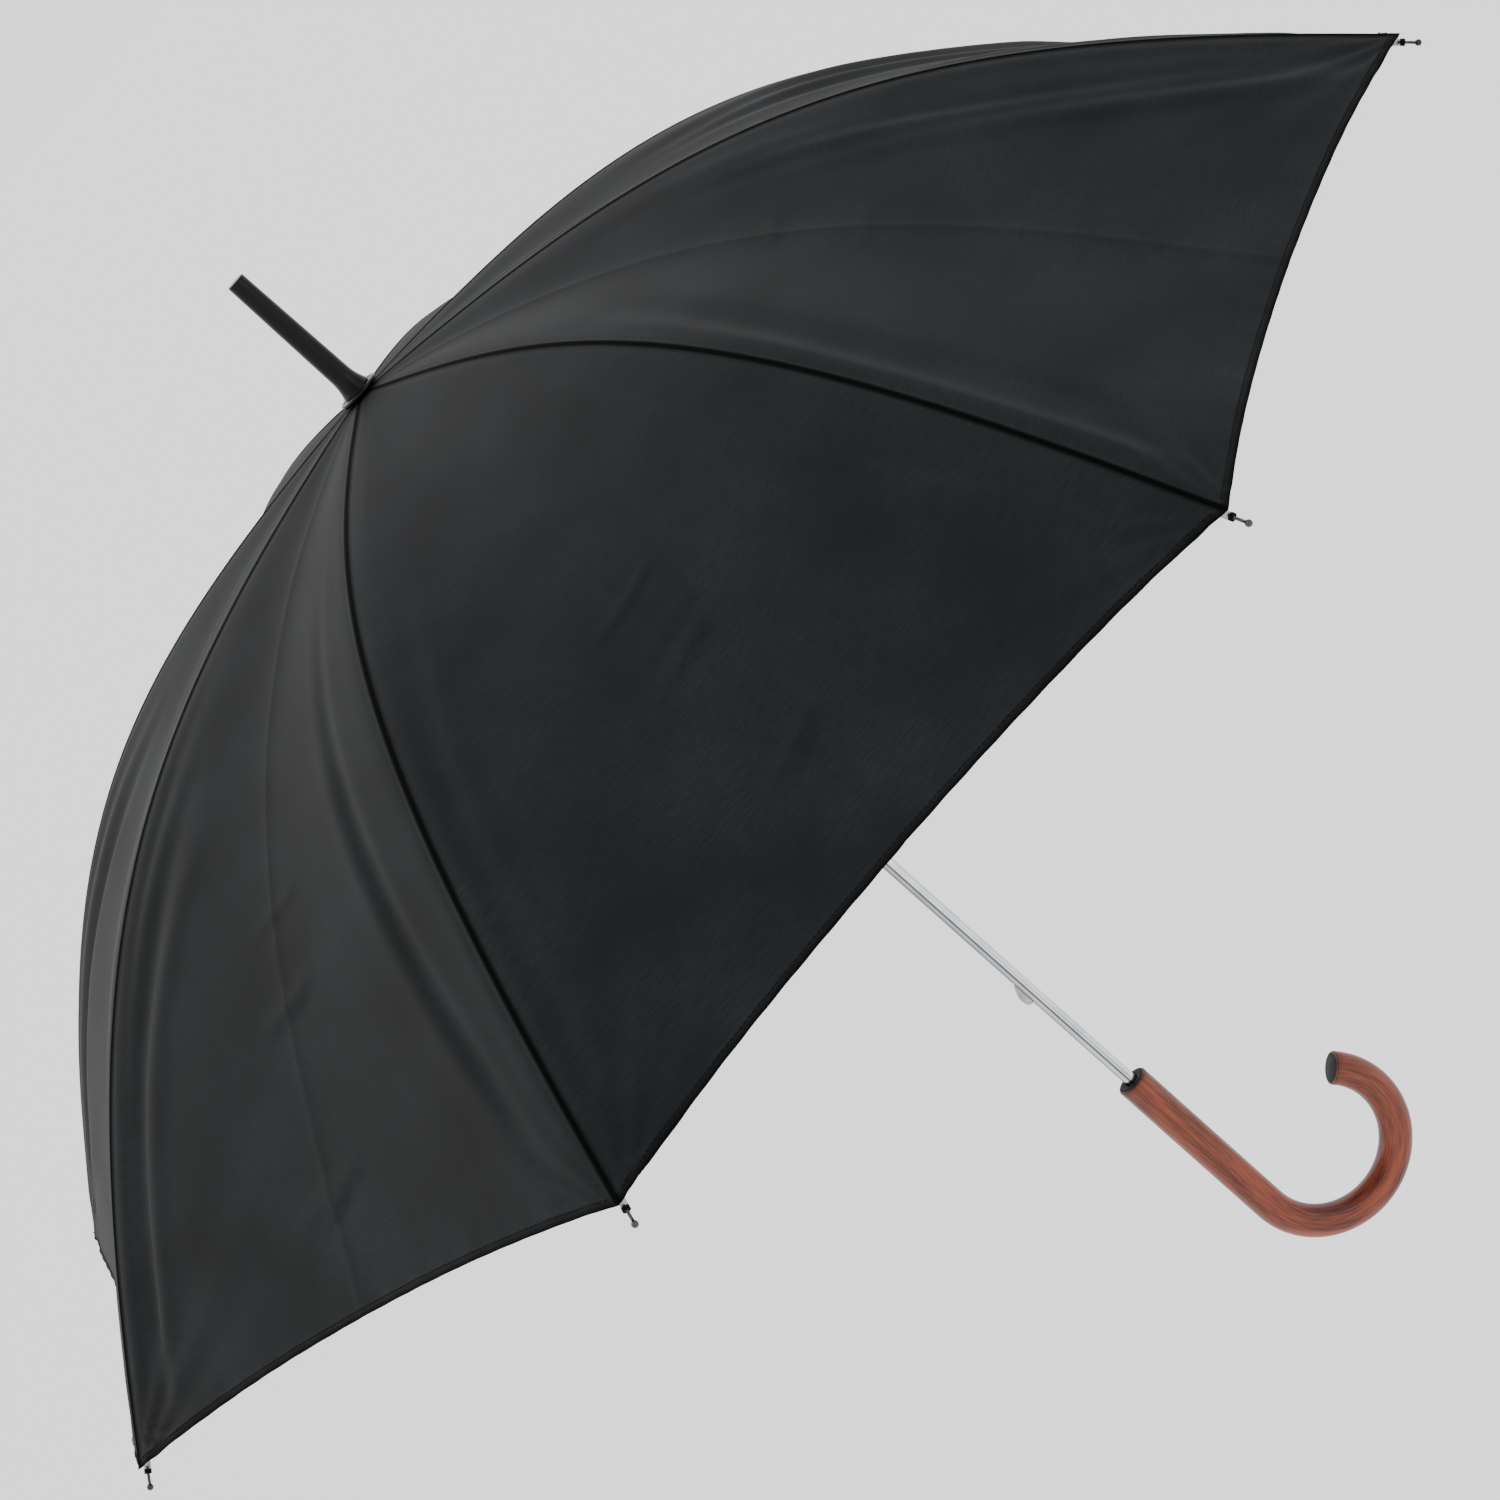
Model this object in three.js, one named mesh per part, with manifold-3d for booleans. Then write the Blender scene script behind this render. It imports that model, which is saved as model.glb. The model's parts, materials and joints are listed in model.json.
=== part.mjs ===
// Open stick umbrella with a crook handle, in millimetres.
// The shaft stands along +Z, towards the ferrule. The origin is on the shaft's axis, half-way up the
// handle's straight grip, and the crook bends towards +X.
import * as THREE from "three";
import { mergeVertices } from "three/addons/utils/BufferGeometryUtils.js";
import Module from "manifold-3d";

const wasm = await Module();
wasm.setup();

// ---- Driving dimensions ----------------------------------------------------------------------------

// The cover
const PANELS = 8;
const TIP_RADIUS = 530; // shaft axis to the cover's corner at a rib tip
const CANOPY_RISE = 250; // rib tips up to the top of the cover
const SHOULDER = { radius: 0.44, rise: 0.924 }; // inner pull of the rib's bow, as shares of the two above
const BEND = { radius: 0.628, rise: 0.819 }; // outer pull of the rib's bow
const COVER_THICKNESS = 1;
const COVER_HOLE_PLAY = 0.9; // between the cover's hole and the shaft's sleeve clearance
const PANEL_SAG = 11; // how far the middle of a panel is drawn in from a straight line between ribs
const HEM_RISE = 15; // how far the hem's middle stands back from a straight line between tips
const RIB_TO_COVER = 1.5; // the ribs lie this far under the cloth

// Clearances
const GAP = 0.3; // between pieces that touch
const PIN_PLAY = 0.35; // round a rivet or a hinge wire
const SLIDE_PLAY = 0.5; // runner on shaft

// Shaft and handle
const SHAFT_RADIUS = 4;
const SHAFT_WALL = 0.6;
const CATCH_TO_HANDLE = 88; // bottom catch down to the handle's top, room for a hand
const SHAFT_IN_HANDLE = 60;
const GRIP_LENGTH = 121; // the handle's straight part
const GRIP_RADIUS = 10.2;
const CROOK_RADIUS = 47.5; // of the crook's centre line
const CROOK_SWEEP = 217; // degrees

// Ferrule and the washer under it
const WASHER_WIDTH = 8.6;
const WASHER_THICKNESS = 2.4;
const FERRULE_LENGTH = 88;
const FERRULE_WALL = { top: 1.35, neck: 2.2, foot: 4.9 };
const FERRULE_FLARE = 13.5; // height of the bell at its foot
const FERRULE_CHAMFER = 0.7;
const FERRULE_END_WALL = 12; // solid plastic above the shaft's end

// Notched rings that the ribs and stretchers hang on
const PIN_CIRCLE = 10; // radius of both hinge wires
const WIRE_RADIUS = 0.6;
const NOTCH_RIM = 2.5; // ring outside the wire's middle
const NOTCH_ABOVE = 3; // ring above the wire
const NOTCH_BELOW = 3.6; // ring below the wire
const CROWN_COLLAR_WALL = 2.9;
const CROWN_COLLAR_LENGTH = 8;
const RUNNER_WALL = 2.3;
const RUNNER_LENGTH = 57; // hinge wire down to the sleeve's lower edge

// Ribs and stretchers
const STRETCHER_LENGTH = 238; // pin to pin, and crown wire to rib joint
const CLOSED_LEAN = 5; // degrees that a folded stretcher stays off the shaft
const EYE_RADIUS = 2;
const EYE_THICKNESS = 1.2;
const EYE_REACH = 6.5; // hinge wire to where the channel starts
const EYE_OVERLAP = 6; // how far an eye's shank runs inside its channel
const RIB = { width: 3, height: 3, wall: 0.6 };
const STRETCHER = { width: 2.6, height: 2.4, wall: 0.5 };
const JOINT_DROP = 5.2; // rib's back down to the stretcher's rivet
const JOINT_REACH = 8; // rivet to where the stretcher's channel starts
const RIVET_RADIUS = 0.8;
const CHEEK_HALF_LENGTH = 4.5;
const CHEEK_MARGIN = 2; // cheek below the rivet's middle
const SPLICE_REACH = 7; // rivet to the splice between a rib's two lengths

// Rib tips
const TIP_SHANK = { radius: 0.5, length: 6 };
const TIP_COLLAR = { radius: 1.7, length: 2.4 };
const TIP_PIN = { radius: 0.8, length: 5.5 };
const TIP_BALL_RADIUS = 1.8;

// Catch springs
const CATCH_THICKNESS = 1.6;
const CATCH_SLOT_WIDTH = 2.4;
const CATCH_PROUD = 4.2; // how far the leaf stands out of the shaft
const CATCH_ABOVE = 9.5; // leaf's middle to its rooted end
const CATCH_BELOW = 8.5; // leaf's middle to its square shoulder
const CATCH_LEAF = 0.95;
const CATCH_END_PLAY = 0.7;
const LATCH_DEPTH = 43.6; // runner's hinge wire down to the middle of its latch window
const LATCH_HALF_LENGTH = 11;
const LATCH_WIDTH = 3;

// Tie band
const BAND = { width: 22, thickness: 1, from: 0.7, to: 0.94, side: 0.34, rib: 3 };
const STUD = { radius: 5.5, height: 2.2 };

// ---- Places worked out from the dimensions ---------------------------------------------------------

const HALF_TURN = Math.PI;
const PANEL_ANGLE = (2 * HALF_TURN) / PANELS;
const radians = THREE.MathUtils.degToRad;

// Heights are measured from the top of the cover until the last line, which moves the whole umbrella.
const coverTop = 0;
const tipHeight = coverTop - CANOPY_RISE;
const boreRadius = SHAFT_RADIUS + GAP;
const runnerRadius = SHAFT_RADIUS + SLIDE_PLAY + RUNNER_WALL;
const notchRadius = PIN_CIRCLE + NOTCH_RIM;
const washerRadius = boreRadius + WASHER_WIDTH;
const shaftInside = SHAFT_RADIUS - SHAFT_WALL;
const ferruleFoot = coverTop + GAP + WASHER_THICKNESS + GAP;
const ferruleTop = ferruleFoot + FERRULE_LENGTH;
const ferruleBoreTop = ferruleTop - FERRULE_END_WALL;

// The outside of the cover along a rib: x is the radius, y the height.
const coverLine = new THREE.CubicBezierCurve(
  new THREE.Vector2(0, coverTop),
  new THREE.Vector2(SHOULDER.radius * TIP_RADIUS, tipHeight + SHOULDER.rise * CANOPY_RISE),
  new THREE.Vector2(BEND.radius * TIP_RADIUS, tipHeight + BEND.rise * CANOPY_RISE),
  new THREE.Vector2(TIP_RADIUS, tipHeight),
);

// The direction out of the cover, square to its line at t.
function coverNormal(t) {
  const along = coverLine.getTangent(t);
  return new THREE.Vector2(-along.y, along.x);
}

// A point at a depth under the outside of the cover, at t along the rib.
function underCover(t, depth) {
  return coverLine.getPoint(t).addScaledVector(coverNormal(t), -depth);
}

// The share of the line that a short distance near t takes up.
function share(t, distance) {
  const step = 0.001;
  const speed = coverLine.getPoint(t + step / 2).distanceTo(coverLine.getPoint(t - step / 2)) / step;
  return distance / speed;
}

// Where a function that rises through zero between two values does so.
function root(rising, low, high) {
  for (let i = 0; i < 50; i += 1) {
    const middle = (low + high) / 2;
    if (rising(middle) < 0) {
      low = middle;
    } else {
      high = middle;
    }
  }
  return (low + high) / 2;
}

const ribDepth = COVER_THICKNESS + RIB_TO_COVER;

// The crown fits under the cloth where its rim meets the middle of a panel.
const rimShare = root((t) => coverLine.getPoint(t).x * Math.cos(PANEL_ANGLE / 2) - notchRadius, 0, 0.3);
const crownHeight = coverPoint(rimShare, 1, -COVER_THICKNESS)[2] - GAP - NOTCH_ABOVE;
const crownPin = new THREE.Vector2(PIN_CIRCLE, crownHeight);

// The rib joint: its rivet is one stretcher's length from the crown wire, so that rib, stretcher and shaft
// make a triangle with two equal sides, and the runner stays level as it slides.
const rivetDepth = ribDepth + JOINT_DROP;
const reach = (t) => underCover(t, rivetDepth).distanceTo(crownPin);
const rivetShare = root((t) => reach(t) - STRETCHER_LENGTH, 0.1, 0.95);
const rivet = underCover(rivetShare, rivetDepth);
const openAngle = Math.asin((crownPin.y - rivet.y) / STRETCHER_LENGTH);
const runnerHeight = 2 * rivet.y - crownHeight;
const closedRunnerHeight = crownHeight - 2 * STRETCHER_LENGTH * Math.cos(radians(CLOSED_LEAN));
const spliceShare = rivetShare + share(rivetShare, SPLICE_REACH);

// The folded runner's latch window lies over the bottom catch, and the handle starts below it.
const bottomCatchHeight = closedRunnerHeight - LATCH_DEPTH;
const topCatchHeight = runnerHeight - RUNNER_LENGTH - GAP - CATCH_BELOW;
const handleTop = bottomCatchHeight - CATCH_TO_HANDLE;

// The seam between a cover piece's two parts runs square across the rib at the splice.
const splice = underCover(spliceShare, 0);
const spliceDirection = coverLine.getTangent(spliceShare);
const chordShare = (1 + Math.cos(PANEL_ANGLE)) / 2; // radius of a panel's middle, measured along its rib
const middleShare = root(
  (t) => {
    const point = coverLine.getPoint(t);
    point.x *= chordShare;
    return point.sub(splice).dot(spliceDirection);
  },
  spliceShare,
  0.98,
);

// ---- Shape helpers ---------------------------------------------------------------------------------

// A closed geometry reduced to shared corners, with its faces turned outwards.
function cleaned(geometry) {
  geometry.deleteAttribute("normal");
  geometry.deleteAttribute("uv");
  const merged = mergeVertices(geometry, 1e-4);
  const corners = merged.getAttribute("position");
  const order = Array.from(merged.index.array);
  const [a, b, c] = [new THREE.Vector3(), new THREE.Vector3(), new THREE.Vector3()];
  const kept = [];
  let volume = 0;
  for (let i = 0; i < order.length; i += 3) {
    const [p, q, r] = order.slice(i, i + 3);
    if (p !== q && q !== r && r !== p) {
      a.fromBufferAttribute(corners, p);
      b.fromBufferAttribute(corners, q);
      c.fromBufferAttribute(corners, r);
      volume += a.dot(b.cross(c));
      kept.push([p, q, r]);
    }
  }
  const facing = volume < 0 ? kept.map(([p, q, r]) => [p, r, q]) : kept;
  merged.setIndex(facing.flat());
  return merged;
}

function toSolid(geometry) {
  const clean = cleaned(geometry);
  const vertProperties = new Float32Array(clean.getAttribute("position").array);
  const triVerts = new Uint32Array(clean.index.array);
  return new wasm.Manifold(new wasm.Mesh({ numProp: 3, vertProperties, triVerts }));
}

function toGeometry(solid) {
  const mesh = solid.getMesh();
  const geometry = new THREE.BufferGeometry();
  geometry.setAttribute("position", new THREE.BufferAttribute(new Float32Array(mesh.vertProperties), 3));
  geometry.setIndex(new THREE.BufferAttribute(new Uint32Array(mesh.triVerts), 1));
  return geometry;
}

// A turned piece on the Z axis, from its outline as [radius, height] pairs.
function turned(outline, sides) {
  const points = outline.map(([radius, height]) => new THREE.Vector2(radius, height));
  return cleaned(new THREE.LatheGeometry(points, sides).rotateX(HALF_TURN / 2));
}

// A turned piece with a hole through it.
function turnedRing(outline, sides) {
  return turned([...outline, outline[0]], sides);
}

// A flat plate in the XZ plane, from an outline in x and z, with its middle at y.
function plate(outline, thickness, y = 0) {
  const settings = { depth: thickness, bevelEnabled: false, curveSegments: 4 };
  const flat = new THREE.ExtrudeGeometry(outline, settings);
  return flat.rotateX(HALF_TURN / 2).translate(0, y + thickness / 2, 0);
}

function polygon(corners) {
  return new THREE.Shape(corners.map(([x, y]) => new THREE.Vector2(x, y)));
}

// The section of a channel that opens downwards: x is across, y is down from its back.
function channelSection({ width, height, wall }) {
  const half = width / 2;
  const inside = half - wall;
  return polygon([
    [-half, 0],
    [half, 0],
    [half, height],
    [inside, height],
    [inside, wall],
    [-inside, wall],
    [-inside, height],
    [-half, height],
  ]);
}

// Half the height of a shank that ends in the middle of its channel's back.
function shankHalf({ height, wall }) {
  return (height - wall) / 2;
}

// A shank with a round eye at the origin, reaching along +X.
function eyeShape(length, halfHeight) {
  const shape = new THREE.Shape();
  const start = Math.asin(halfHeight / EYE_RADIUS);
  shape.moveTo(length, -halfHeight);
  shape.lineTo(length, halfHeight);
  shape.absarc(0, 0, EYE_RADIUS, start, 2 * HALF_TURN - start, false);
  shape.closePath();
  return shape;
}

function withHole(shape, radius) {
  const hole = new THREE.Path();
  hole.absarc(0, 0, radius, 0, 2 * HALF_TURN, true);
  shape.holes.push(hole);
  return shape;
}

// The back of a rib between two shares of the cover's line.
class RibBack extends THREE.Curve {
  constructor(from, to) {
    super();
    this.from = from;
    this.to = to;
  }

  getPoint(u) {
    const point = underCover(THREE.MathUtils.lerp(this.from, this.to, u), ribDepth);
    return new THREE.Vector3(point.x, 0, point.y);
  }
}

// The middle of the handle, down the grip and round the crook.
class CrookLine extends THREE.Curve {
  getPoint(u) {
    const arc = CROOK_RADIUS * radians(CROOK_SWEEP);
    const distance = u * (GRIP_LENGTH + arc);
    if (distance < GRIP_LENGTH) {
      return new THREE.Vector3(0, 0, handleTop - distance);
    }
    const angle = (distance - GRIP_LENGTH) / CROOK_RADIUS;
    const x = CROOK_RADIUS * (1 - Math.cos(angle));
    return new THREE.Vector3(x, 0, handleTop - GRIP_LENGTH - CROOK_RADIUS * Math.sin(angle));
  }
}

// A thin closed sheet over a grid: pointAt(i, j, depth) gives a corner on its outside (0) or inside (1).
function sheet(rows, columns, pointAt) {
  const corners = [];
  const triangles = [];
  const index = (i, j, depth) => (i * (columns + 1) + j) * 2 + depth;
  for (let i = 0; i <= rows; i += 1) {
    for (let j = 0; j <= columns; j += 1) {
      corners.push(...pointAt(i, j, 0), ...pointAt(i, j, 1));
    }
  }
  const quad = (a, b, c, d) => triangles.push(a, b, c, a, c, d);
  for (let i = 0; i < rows; i += 1) {
    for (let j = 0; j < columns; j += 1) {
      quad(index(i, j, 0), index(i + 1, j, 0), index(i + 1, j + 1, 0), index(i, j + 1, 0));
      quad(index(i, j, 1), index(i, j + 1, 1), index(i + 1, j + 1, 1), index(i + 1, j, 1));
    }
    quad(index(i, 0, 0), index(i, 0, 1), index(i + 1, 0, 1), index(i + 1, 0, 0));
    quad(index(i, columns, 0), index(i + 1, columns, 0), index(i + 1, columns, 1), index(i, columns, 1));
  }
  for (let j = 0; j < columns; j += 1) {
    quad(index(0, j, 0), index(0, j + 1, 0), index(0, j + 1, 1), index(0, j, 1));
    quad(index(rows, j, 0), index(rows, j, 1), index(rows, j + 1, 1), index(rows, j + 1, 0));
  }
  const geometry = new THREE.BufferGeometry();
  geometry.setAttribute("position", new THREE.BufferAttribute(new Float32Array(corners), 3));
  geometry.setIndex(triangles);
  return cleaned(geometry);
}

// ---- The cover's surface, in the frame of one rib --------------------------------------------------

// A point of the cover: t runs down the rib and w across, from -1 to 1 between the middles of the two
// panels that meet on the rib. lift raises it out of the cloth.
function coverPoint(t, w, lift) {
  const line = coverLine.getPoint(t);
  const normal = coverNormal(t);
  const across = Math.abs(w) / 2;
  const bearing = (w * PANEL_ANGLE) / 2;
  const drawnIn = PANEL_SAG * Math.sin(0.8 * HALF_TURN * t) * Math.sin(HALF_TURN * across) ** 2;
  const out = lift - drawnIn;
  const x = line.x * (1 - across + across * Math.cos(PANEL_ANGLE)) + out * normal.x * Math.cos(bearing);
  const y = line.x * across * Math.sin(PANEL_ANGLE) * Math.sign(w) + out * normal.x * Math.sin(bearing);
  return [x, y, line.y + out * normal.y];
}

// Half the width of a cover piece at t, along the chord to the next rib.
function halfChord(t) {
  return coverLine.getPoint(t).x * Math.sin(PANEL_ANGLE / 2);
}

// One cover piece between two edges, each given as a function of w.
function coverPiece(rows, upper, lower) {
  const columns = 8;
  return sheet(rows, columns, (i, j, depth) => {
    const w = (2 * j) / columns - 1;
    const t = THREE.MathUtils.lerp(upper(w), lower(w), i / rows);
    const edge = 1 - GAP / 2 / halfChord(t);
    return coverPoint(t, w * edge, -depth * COVER_THICKNESS);
  });
}

const hubEdge = () => root((t) => coverLine.getPoint(t).x - boreRadius - COVER_HOLE_PLAY, 0, 0.2);
const seamEdge = (w) => spliceShare + (middleShare - spliceShare) * w * w;
const seamEdgeBelow = (w) => seamEdge(w) + share(spliceShare, GAP);
const hemEdge = (w) => 1 - share(0.99, HEM_RISE) * (1 - (1 - Math.abs(w)) ** 2);

// ---- Finishes --------------------------------------------------------------------------------------

function finish(color, roughness, metalness) {
  return new THREE.MeshStandardMaterial({ color, roughness, metalness });
}

const cloth = () => finish(0x232526, 0.75, 0);
const blackPlastic = () => finish(0x0c0c0d, 0.25, 0);
const chromedSteel = () => finish(0xc9ccce, 0.15, 1);
const nickelledSteel = () => finish(0x9d9c97, 0.3, 1);
const springSteel = () => finish(0xa8a59c, 0.3, 1);
const stainedWood = () => finish(0x7a4030, 0.4, 0);

const umbrella = new THREE.Group();

function add(parent, name, geometry, material) {
  const mesh = new THREE.Mesh(geometry, material);
  mesh.name = name;
  parent.add(mesh);
  return mesh;
}

// ---- Fixed pieces ----------------------------------------------------------------------------------

// The leaf of a catch: x is out of the shaft, y is along it from the square shoulder to the root.
function catchShape() {
  const skin = SHAFT_RADIUS;
  const outside = [
    [shaftInside - 0.1, CATCH_ABOVE],
    [skin + 0.38 * CATCH_PROUD, 0.63 * CATCH_ABOVE],
    [skin + CATCH_PROUD, -0.18 * CATCH_BELOW],
    [skin + 0.74 * CATCH_PROUD, -0.85 * CATCH_BELOW],
    [skin - 0.2, -CATCH_BELOW],
  ];
  const inside = [
    [skin - 0.2 - CATCH_LEAF, -0.95 * CATCH_BELOW],
    [skin + 0.74 * CATCH_PROUD - CATCH_LEAF, -0.75 * CATCH_BELOW],
    [skin + CATCH_PROUD - 1.1 * CATCH_LEAF, -0.16 * CATCH_BELOW],
    [skin + 0.38 * CATCH_PROUD - 0.9 * CATCH_LEAF, 0.54 * CATCH_ABOVE],
    [shaftInside - 0.1 - CATCH_LEAF, 0.93 * CATCH_ABOVE],
  ];
  return polygon([...outside, ...inside]);
}

// Both catches stand out of the shaft's -X side. flip is -1 where the root is at the lower end.
function addCatch(name, height, flip) {
  const leaf = plate(catchShape(), CATCH_THICKNESS);
  leaf.scale(-1, 1, flip);
  add(umbrella, name, cleaned(leaf), springSteel()).position.z = height;
}

function catchSlot(height, flip) {
  const length = CATCH_ABOVE + CATCH_BELOW + 2 * CATCH_END_PLAY;
  const slot = new THREE.BoxGeometry(2 * SHAFT_RADIUS, CATCH_SLOT_WIDTH, length);
  return toSolid(slot.translate(-SHAFT_RADIUS, 0, height + (flip * (CATCH_ABOVE - CATCH_BELOW)) / 2));
}

function shaftTube() {
  const low = handleTop - SHAFT_IN_HANDLE + GAP;
  const high = ferruleBoreTop - GAP;
  const wall = [
    [shaftInside, low],
    [SHAFT_RADIUS, low],
    [SHAFT_RADIUS, high],
    [shaftInside, high],
  ];
  const tube = toSolid(turnedRing(wall, 24));
  const slotted = tube.subtract(catchSlot(bottomCatchHeight, 1)).subtract(catchSlot(topCatchHeight, -1));
  return toGeometry(slotted);
}

function handle() {
  const round = new THREE.Shape();
  round.absarc(0, 0, GRIP_RADIUS, 0, 2 * HALF_TURN, false);
  const settings = { extrudePath: new CrookLine(), steps: 22, curveSegments: 8, bevelEnabled: false };
  const stick = toSolid(new THREE.ExtrudeGeometry(round, settings));
  const bore = new THREE.CylinderGeometry(boreRadius, boreRadius, 2 * SHAFT_IN_HANDLE, 20);
  return toGeometry(stick.subtract(toSolid(bore.rotateX(HALF_TURN / 2).translate(0, 0, handleTop))));
}

function ferrule() {
  const flare = [];
  const steps = 6;
  for (let i = 0; i <= steps; i += 1) {
    const rise = i / steps;
    const wall = THREE.MathUtils.lerp(FERRULE_WALL.neck, FERRULE_WALL.foot, (1 - rise) ** 2.2);
    flare.push([boreRadius + wall, ferruleFoot + FERRULE_FLARE * rise]);
  }
  const outline = [
    [0, ferruleBoreTop],
    [boreRadius, ferruleBoreTop],
    [boreRadius, ferruleFoot],
    ...flare,
    [boreRadius + FERRULE_WALL.top, ferruleTop - FERRULE_CHAMFER],
    [boreRadius + FERRULE_WALL.top - FERRULE_CHAMFER, ferruleTop],
    [0, ferruleTop],
  ];
  return turned(outline, 24);
}

function washer() {
  const low = coverTop + GAP;
  const outline = [
    [boreRadius, low],
    [washerRadius, low],
    [washerRadius, low + 0.8 * WASHER_THICKNESS],
    [washerRadius - 1, low + WASHER_THICKNESS],
    [boreRadius, low + WASHER_THICKNESS],
  ];
  return turnedRing(outline, 24);
}

// A ring with a groove for its hinge wire and a notch for each rib or stretcher. The rest of its outline,
// below the notches, goes down the outside of its collar or sleeve.
function notchedRing(inside, lowerOutline) {
  const groove = PIN_CIRCLE - WIRE_RADIUS - GAP;
  const halfGroove = WIRE_RADIUS + GAP;
  const outline = [
    ...lowerOutline,
    [notchRadius, -NOTCH_BELOW],
    [notchRadius, -halfGroove],
    [groove, -halfGroove],
    [groove, halfGroove],
    [notchRadius, halfGroove],
    [notchRadius, NOTCH_ABOVE],
    [inside, NOTCH_ABOVE],
  ];
  const bottom = PIN_CIRCLE - EYE_RADIUS - GAP;
  const tall = 3 * (NOTCH_ABOVE + NOTCH_BELOW);
  let ring = toSolid(turnedRing(outline, 24));
  for (let i = 0; i < PANELS; i += 1) {
    const notch = new THREE.BoxGeometry(notchRadius, EYE_THICKNESS + 2 * (GAP + 0.1), tall);
    notch.translate(bottom + notchRadius / 2, 0, 0);
    notch.rotateZ((i + 0.5) * PANEL_ANGLE);
    ring = ring.subtract(toSolid(notch));
  }
  return ring;
}

function crown() {
  const collarFoot = -NOTCH_BELOW - CROWN_COLLAR_LENGTH;
  const outline = [
    [boreRadius, collarFoot],
    [boreRadius + CROWN_COLLAR_WALL, collarFoot],
    [boreRadius + CROWN_COLLAR_WALL, -NOTCH_BELOW],
  ];
  return toGeometry(notchedRing(boreRadius, outline));
}

function runner() {
  const inside = SHAFT_RADIUS + SLIDE_PLAY;
  const outline = [
    [inside, -RUNNER_LENGTH],
    [runnerRadius, -RUNNER_LENGTH],
    [runnerRadius, -NOTCH_BELOW],
  ];
  const window = new THREE.BoxGeometry(2 * runnerRadius, LATCH_WIDTH, 2 * LATCH_HALF_LENGTH);
  window.translate(-runnerRadius, 0, -LATCH_DEPTH);
  return toGeometry(notchedRing(inside, outline).subtract(toSolid(window)));
}

function hingeWire() {
  return cleaned(new THREE.TorusGeometry(PIN_CIRCLE, WIRE_RADIUS, 6, 24));
}

add(umbrella, "shaft_tube", shaftTube(), chromedSteel());
add(umbrella, "crook_handle", handle(), stainedWood());
add(umbrella, "ferrule", ferrule(), blackPlastic());
add(umbrella, "ferrule_washer", washer(), blackPlastic());
add(umbrella, "crown", crown(), blackPlastic()).position.z = crownHeight;
add(umbrella, "crown_wire", hingeWire(), springSteel()).position.z = crownHeight;
add(umbrella, "runner", runner(), blackPlastic()).position.z = runnerHeight;
add(umbrella, "runner_wire", hingeWire(), springSteel()).position.z = runnerHeight;
addCatch("bottom_catch", bottomCatchHeight, 1);
addCatch("top_catch", topCatchHeight, -1);

// ---- Pieces of one rib, in the XZ plane ------------------------------------------------------------

function ribChannel(from, to, steps) {
  const settings = { extrudePath: new RibBack(from, to), steps, bevelEnabled: false };
  return toSolid(new THREE.ExtrudeGeometry(channelSection(RIB), settings));
}

function ribInner() {
  const from = root((t) => underCover(t, ribDepth).x - PIN_CIRCLE - EYE_REACH, 0, 0.2);
  const channelStart = underCover(from, ribDepth + RIB.height / 2);
  const shank = channelStart.clone().sub(crownPin);
  const eyeOutline = eyeShape(shank.length() + EYE_OVERLAP, shankHalf(RIB));
  const eye = plate(withHole(eyeOutline, WIRE_RADIUS + PIN_PLAY), EYE_THICKNESS);
  eye.rotateY(-shank.angle());
  eye.translate(crownPin.x, 0, crownPin.y);
  let rib = ribChannel(from, spliceShare, 7).add(toSolid(eye));

  const along = coverLine.getTangent(rivetShare);
  const cheek = polygon([
    [-CHEEK_HALF_LENGTH, JOINT_DROP - RIB.height / 2],
    [-CHEEK_HALF_LENGTH / 2, -CHEEK_MARGIN],
    [CHEEK_HALF_LENGTH / 2, -CHEEK_MARGIN],
    [CHEEK_HALF_LENGTH, JOINT_DROP - RIB.height / 2],
  ]);
  const pin = new THREE.CylinderGeometry(RIVET_RADIUS, RIVET_RADIUS, RIB.width, 10);
  const offset = (RIB.width - RIB.wall) / 2;
  for (const part of [plate(cheek, RIB.wall, offset), plate(cheek, RIB.wall, -offset), pin]) {
    part.rotateY(-along.angle());
    part.translate(rivet.x, 0, rivet.y);
    rib = rib.add(toSolid(part));
  }
  return toGeometry(rib);
}

function ribOuter() {
  return toGeometry(ribChannel(spliceShare + share(spliceShare, GAP), 1, 8));
}

// A stretcher along +X, from its eye on the runner's wire to its eye on the rib's rivet.
function stretcher() {
  const middle = STRETCHER.height / 2;
  const straight = new THREE.LineCurve3(
    new THREE.Vector3(EYE_REACH, 0, middle),
    new THREE.Vector3(STRETCHER_LENGTH - JOINT_REACH, 0, middle),
  );
  const settings = { extrudePath: straight, steps: 1, bevelEnabled: false };
  const channel = toSolid(new THREE.ExtrudeGeometry(channelSection(STRETCHER), settings));
  const lowEye = withHole(eyeShape(EYE_REACH + EYE_OVERLAP, shankHalf(STRETCHER)), WIRE_RADIUS + PIN_PLAY);
  const highOutline = eyeShape(JOINT_REACH + EYE_OVERLAP, shankHalf(STRETCHER));
  const highEye = withHole(highOutline, RIVET_RADIUS + PIN_PLAY);
  const high = plate(highEye, EYE_THICKNESS).rotateZ(HALF_TURN).translate(STRETCHER_LENGTH, 0, 0);
  return toGeometry(channel.add(toSolid(plate(lowEye, EYE_THICKNESS))).add(toSolid(high)));
}

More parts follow.
